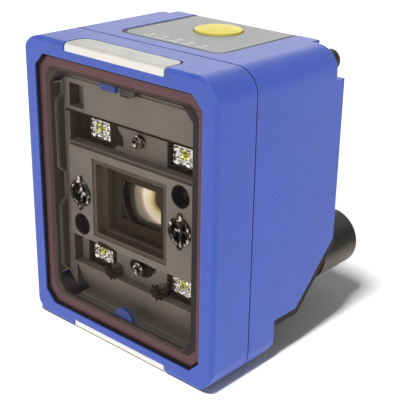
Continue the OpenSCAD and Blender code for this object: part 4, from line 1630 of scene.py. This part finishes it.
    def screw_washer(self) -> None:
        """Models the oval washer under the head of the tray's lower screw, dished inside its rim: a painted
        shade of the recess round the screw.
        """
        low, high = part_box("tray_screws")
        middle = Vector((0, low.y + self.head_t - self.washer_t / 2, low.z + (high.x - low.x) / 2))
        size = (self.washer_w, self.washer_h, self.washer_t)
        piece = rod("screw_washer", middle, size, self.round_sides)
        with editing(piece):
            select_faces(piece, facing(1, -1))
            bpy.ops.mesh.inset(thickness=self.washer_t, depth=0)
            bpy.ops.mesh.inset(thickness=self.washer_t / 3, depth=-self.washer_dish)
        round_edges(piece, self.washer_t / 6, 1)
        self.settle(SHADE, "black_plastic", piece)

    def lamp_bar(self) -> None:
        """Models the dark bar on the block's lower edge, beside the lower left lamp: a painted shadow under
        the overhang there.
        """
        low, high = self.lamp_corner(-1, -1)
        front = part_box("aimers")[0].y + self.ear_t - self.bar_t
        start = Vector((high.x - self.bar_lap, front, (low.z + high.z + self.trough_h) / 2))
        piece = block("lamp_bar", start, start + Vector((self.bar_l / 2, self.bar_d, self.bar_h)))
        with editing(piece):
            select_faces(piece, facing(0, 1))
            extrude(self.bar_l / 2, 0, -self.bar_h * (1 - self.bar_share) / 2)
            bpy.ops.transform.resize(value=(1, 1, self.bar_share))
        round_edges(piece, self.bar_t / 4, 1)
        self.settle(SHADE, "carrier_dark", piece)


@dataclass
class KeyPanel(SubAssembly):
    """The grey panel on the roof with the yellow button."""

    panel_corner: float = 4 * MM
    lights: int = 5
    light_w: float = 1.8 * MM
    mark_l: float = 3.0 * MM
    mark_w: float = 0.9 * MM
    mark_t: float = 0.08 * MM
    mark_gap: float = 1.3 * MM
    mark_round: float = 0.405 * MM
    mark_steps: int = 4

    def build(self) -> None:
        """Dresses the panel and the button, and adds the marks."""
        low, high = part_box("key_panel")
        half_w = (high.x - low.x) / 2
        # The second tone is the painted shade along the panel's edge
        film = FilmFinish(
            "grey_film", tone(162, 164, 164), tone(24, 25, 27), half_w, low.y, self.panel_corner)
        self.dress(film, "key_panel")
        self.dress(YELLOW, "push_button")
        self.marks(high.z)

    def marks(self, top: float) -> None:
        """Prints a short bar with round ends in front of each status light.

        Args:
            top: The height of the panel's face, in metres.
        """
        low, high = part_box("status_pipes")
        pitch = (high.x - low.x - self.light_w) / (self.lights - 1)
        middle = Vector((low.x + self.light_w / 2, low.y - self.mark_gap, top))
        half = Vector((self.mark_l / 2, self.mark_w / 2, self.mark_t / 2))
        first = block("panel_mark_1", middle - half, middle + half)
        with editing(first):
            select_edges(first, 2)
            bpy.ops.mesh.bevel(offset=self.mark_round, segments=self.mark_steps)
        shifts = [Vector((number * pitch, 0, 0)) for number in range(1, self.lights)]
        self.settle(PRINT, "diffuser_white", *repeat(first, *shifts))


@dataclass
class Connectors(SubAssembly):
    """The dark panel on the sloping face and its two turning connectors."""

    bore_r: float = 5.97 * MM
    thread_in: float = 0.8 * MM
    thread_pitch: float = 1.0 * MM
    thread_turns: int = 4
    thread_d: float = 0.5 * MM
    thread_wall: float = 0.06 * MM
    thread_sides: int = 48

    def build(self) -> None:
        """Dresses the panel and both connectors."""
        self.dress(PLATE, "connector_panel")
        sides = ("right", "left")
        self.dress(SOCKET, *(f"{part}_{side}" for part in ("elbow", "sleeve") for side in sides))
        for finish, part in ((BLACK, "insert"), (GOLD, "contacts"), (RUBBER, "seal")):
            self.dress(finish, *(f"{part}_{side}" for side in sides))
        for side, body in zip(sides, (Body.SWIVEL_RIGHT, Body.SWIVEL_LEFT)):
            self.thread(side, body)

    def thread(self, side: str, body: Body) -> None:
        """Models the coupling thread inside a sleeve's mouth.

        Args:
            side: Which connector, right or left.
            body: The body that the connector turns with.
        """
        low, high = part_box(f"sleeve_{side}")
        start = Vector(((low.x + high.x) / 2, high.y - self.thread_in, (low.z + high.z) / 2))
        piece = disc(f"mouth_thread_{side}", start, self.bore_r, self.thread_sides, Ends.OPEN)
        inward = 1 - self.thread_d / self.bore_r
        with editing(piece):
            bpy.ops.mesh.select_mode(type="EDGE")
            bpy.ops.mesh.select_all(action="SELECT")
            for share in (inward, 1 / inward) * self.thread_turns:
                extrude(0, -self.thread_pitch / 2, 0)
                bpy.ops.transform.resize(value=(share, 1, share), center_override=start)
        thicken(piece, self.thread_wall, 0)
        self.settle(SOCKET, "connector_black", piece, body=body)


@dataclass
class Studio:
    """A pale floor, soft lamps and the camera at the photograph's angle."""

    floor_z: float = -52.05 * MM
    floor_size: float = 6.0
    floor_tone: Colour = (0.6, 0.595, 0.585)
    floor_rough: float = 0.9
    floor_glow: float = 0.015
    far_glow: float = 0.8
    near: float = 0.1
    far: float = 0.3
    eye: Triple = (158.855 * MM, -193.282 * MM, 78.66 * MM)
    azimuth: float = 40.342
    elevation: float = 22.38
    roll: float = 1.519
    lens: float = 85.49
    sensor: float = 36
    shift_x: float = -0.0625
    clip_near: float = 0.01
    clip_far: float = 20
    sky: float = 0.34

    def build(self) -> None:
        """Makes the camera, the floor, the lamps and the surroundings."""
        self.camera()
        self.floor()
        self.lamp("overhead_softbox", (0.0, -0.06, 0.66), size=0.16, power=1.8)
        self.lamp("floor_softbox", (0.062, -0.255, 0.61), size=0.09, power=8.8, reach=Reach.FLOOR)
        self.lamp("front_softbox", (-0.2, -0.85, 0.2), size=0.5, power=1.5)
        self.lamp("side_softbox", (0.8, -0.15, 0.2), size=0.45, power=1.6)
        self.lamp("rear_softbox", (-0.5, 0.66, 0.32), size=0.45, power=0.6)
        self.world()
        bpy.context.scene.view_settings.view_transform = "Standard"

    def camera(self) -> None:
        """Places the camera by its angles round the object and its roll."""
        around = math.radians(self.azimuth)
        up = math.radians(self.elevation)
        back = Vector((math.sin(around) * math.cos(up), -math.cos(around) * math.cos(up), math.sin(up)))
        level = (-back).cross(Vector((0, 0, 1))).normalized()
        upright = level.cross(-back)
        turn = math.radians(self.roll)
        right = level * math.cos(turn) + upright * math.sin(turn)
        top = upright * math.cos(turn) - level * math.sin(turn)
        data = bpy.data.cameras.new("photo_camera")
        data.lens = self.lens
        data.sensor_width = self.sensor
        data.shift_x = self.shift_x
        data.clip_start = self.clip_near
        data.clip_end = self.clip_far
        made = bpy.data.objects.new("photo_camera", data)
        bpy.context.collection.objects.link(made)
        axes = Matrix((right, top, back)).transposed().to_4x4()
        made.matrix_world = Matrix.Translation(self.eye) @ axes
        bpy.context.scene.camera = made

    def floor(self) -> None:
        """Lays the pale floor, white to the camera and shaded by the object."""
        bpy.ops.object.select_all(action="DESELECT")
        bpy.ops.mesh.primitive_plane_add(size=self.floor_size, location=(0, 0, self.floor_z))
        floor = bpy.context.object
        floor.name = "studio_floor"
        recipe = Recipe("pale_floor")
        away = recipe.length(recipe.place)
        glow = recipe.spread(away, self.floor_glow, self.far_glow, self.near, self.far)
        recipe.set(
            Base_Color=(*self.floor_tone, 1),
            Roughness=self.floor_rough,
            Emission_Color=(1, 1, 1, 1),
            Emission_Strength=recipe.math("MULTIPLY", recipe.seen(), glow),
        )
        floor.data.materials.append(recipe.material)

    def lamp(self, name: str, place: Triple, size: float, power: float, reach: Reach = Reach.OBJECT) -> None:
        """Hangs a square softbox that faces the object.

        Args:
            name: The lamp's name.
            place: Where it hangs, in metres.
            size: The length of its sides, in metres.
            power: Its power, in watts.
            reach: What it lights.
        """
        data = bpy.data.lights.new(name, "AREA")
        data.size = size
        data.energy = power
        made = bpy.data.objects.new(name, data)
        bpy.context.collection.objects.link(made)
        made.location = place
        made.rotation_mode = "QUATERNION"
        made.rotation_quaternion = (-Vector(place)).to_track_quat("-Z", "Y")
        group = bpy.data.collections.new(f"{name}_reach")
        group.objects.link(bpy.data.objects["studio_floor"])
        group.collection_objects[0].light_linking.link_state = reach.value
        made.light_linking.receiver_collection = group

    def world(self) -> None:
        """Surrounds the object with even light that the camera sees as white."""
        world = bpy.data.worlds.new("studio_surround")
        bpy.context.scene.world = world
        world.use_nodes = True
        nodes = Nodes(world.node_tree)
        surround = nodes.tree.nodes["Background"].inputs
        nodes.feed(surround["Strength"], nodes.spread(nodes.seen(), self.sky, 1))
        surround["Color"].default_value = (1, 1, 1, 1)


def main() -> None:
    """Builds the studio and every sub-assembly in order."""
    logging.basicConfig(level=logging.INFO, format="%(message)s")
    Studio().build()
    for assembly in (Housing(), Window(), LightBars(), Optics(), KeyPanel(), Connectors()):
        assembly.build()
        LOG.info("%s is dressed", type(assembly).__name__)


if __name__ == "__main__":
    main()
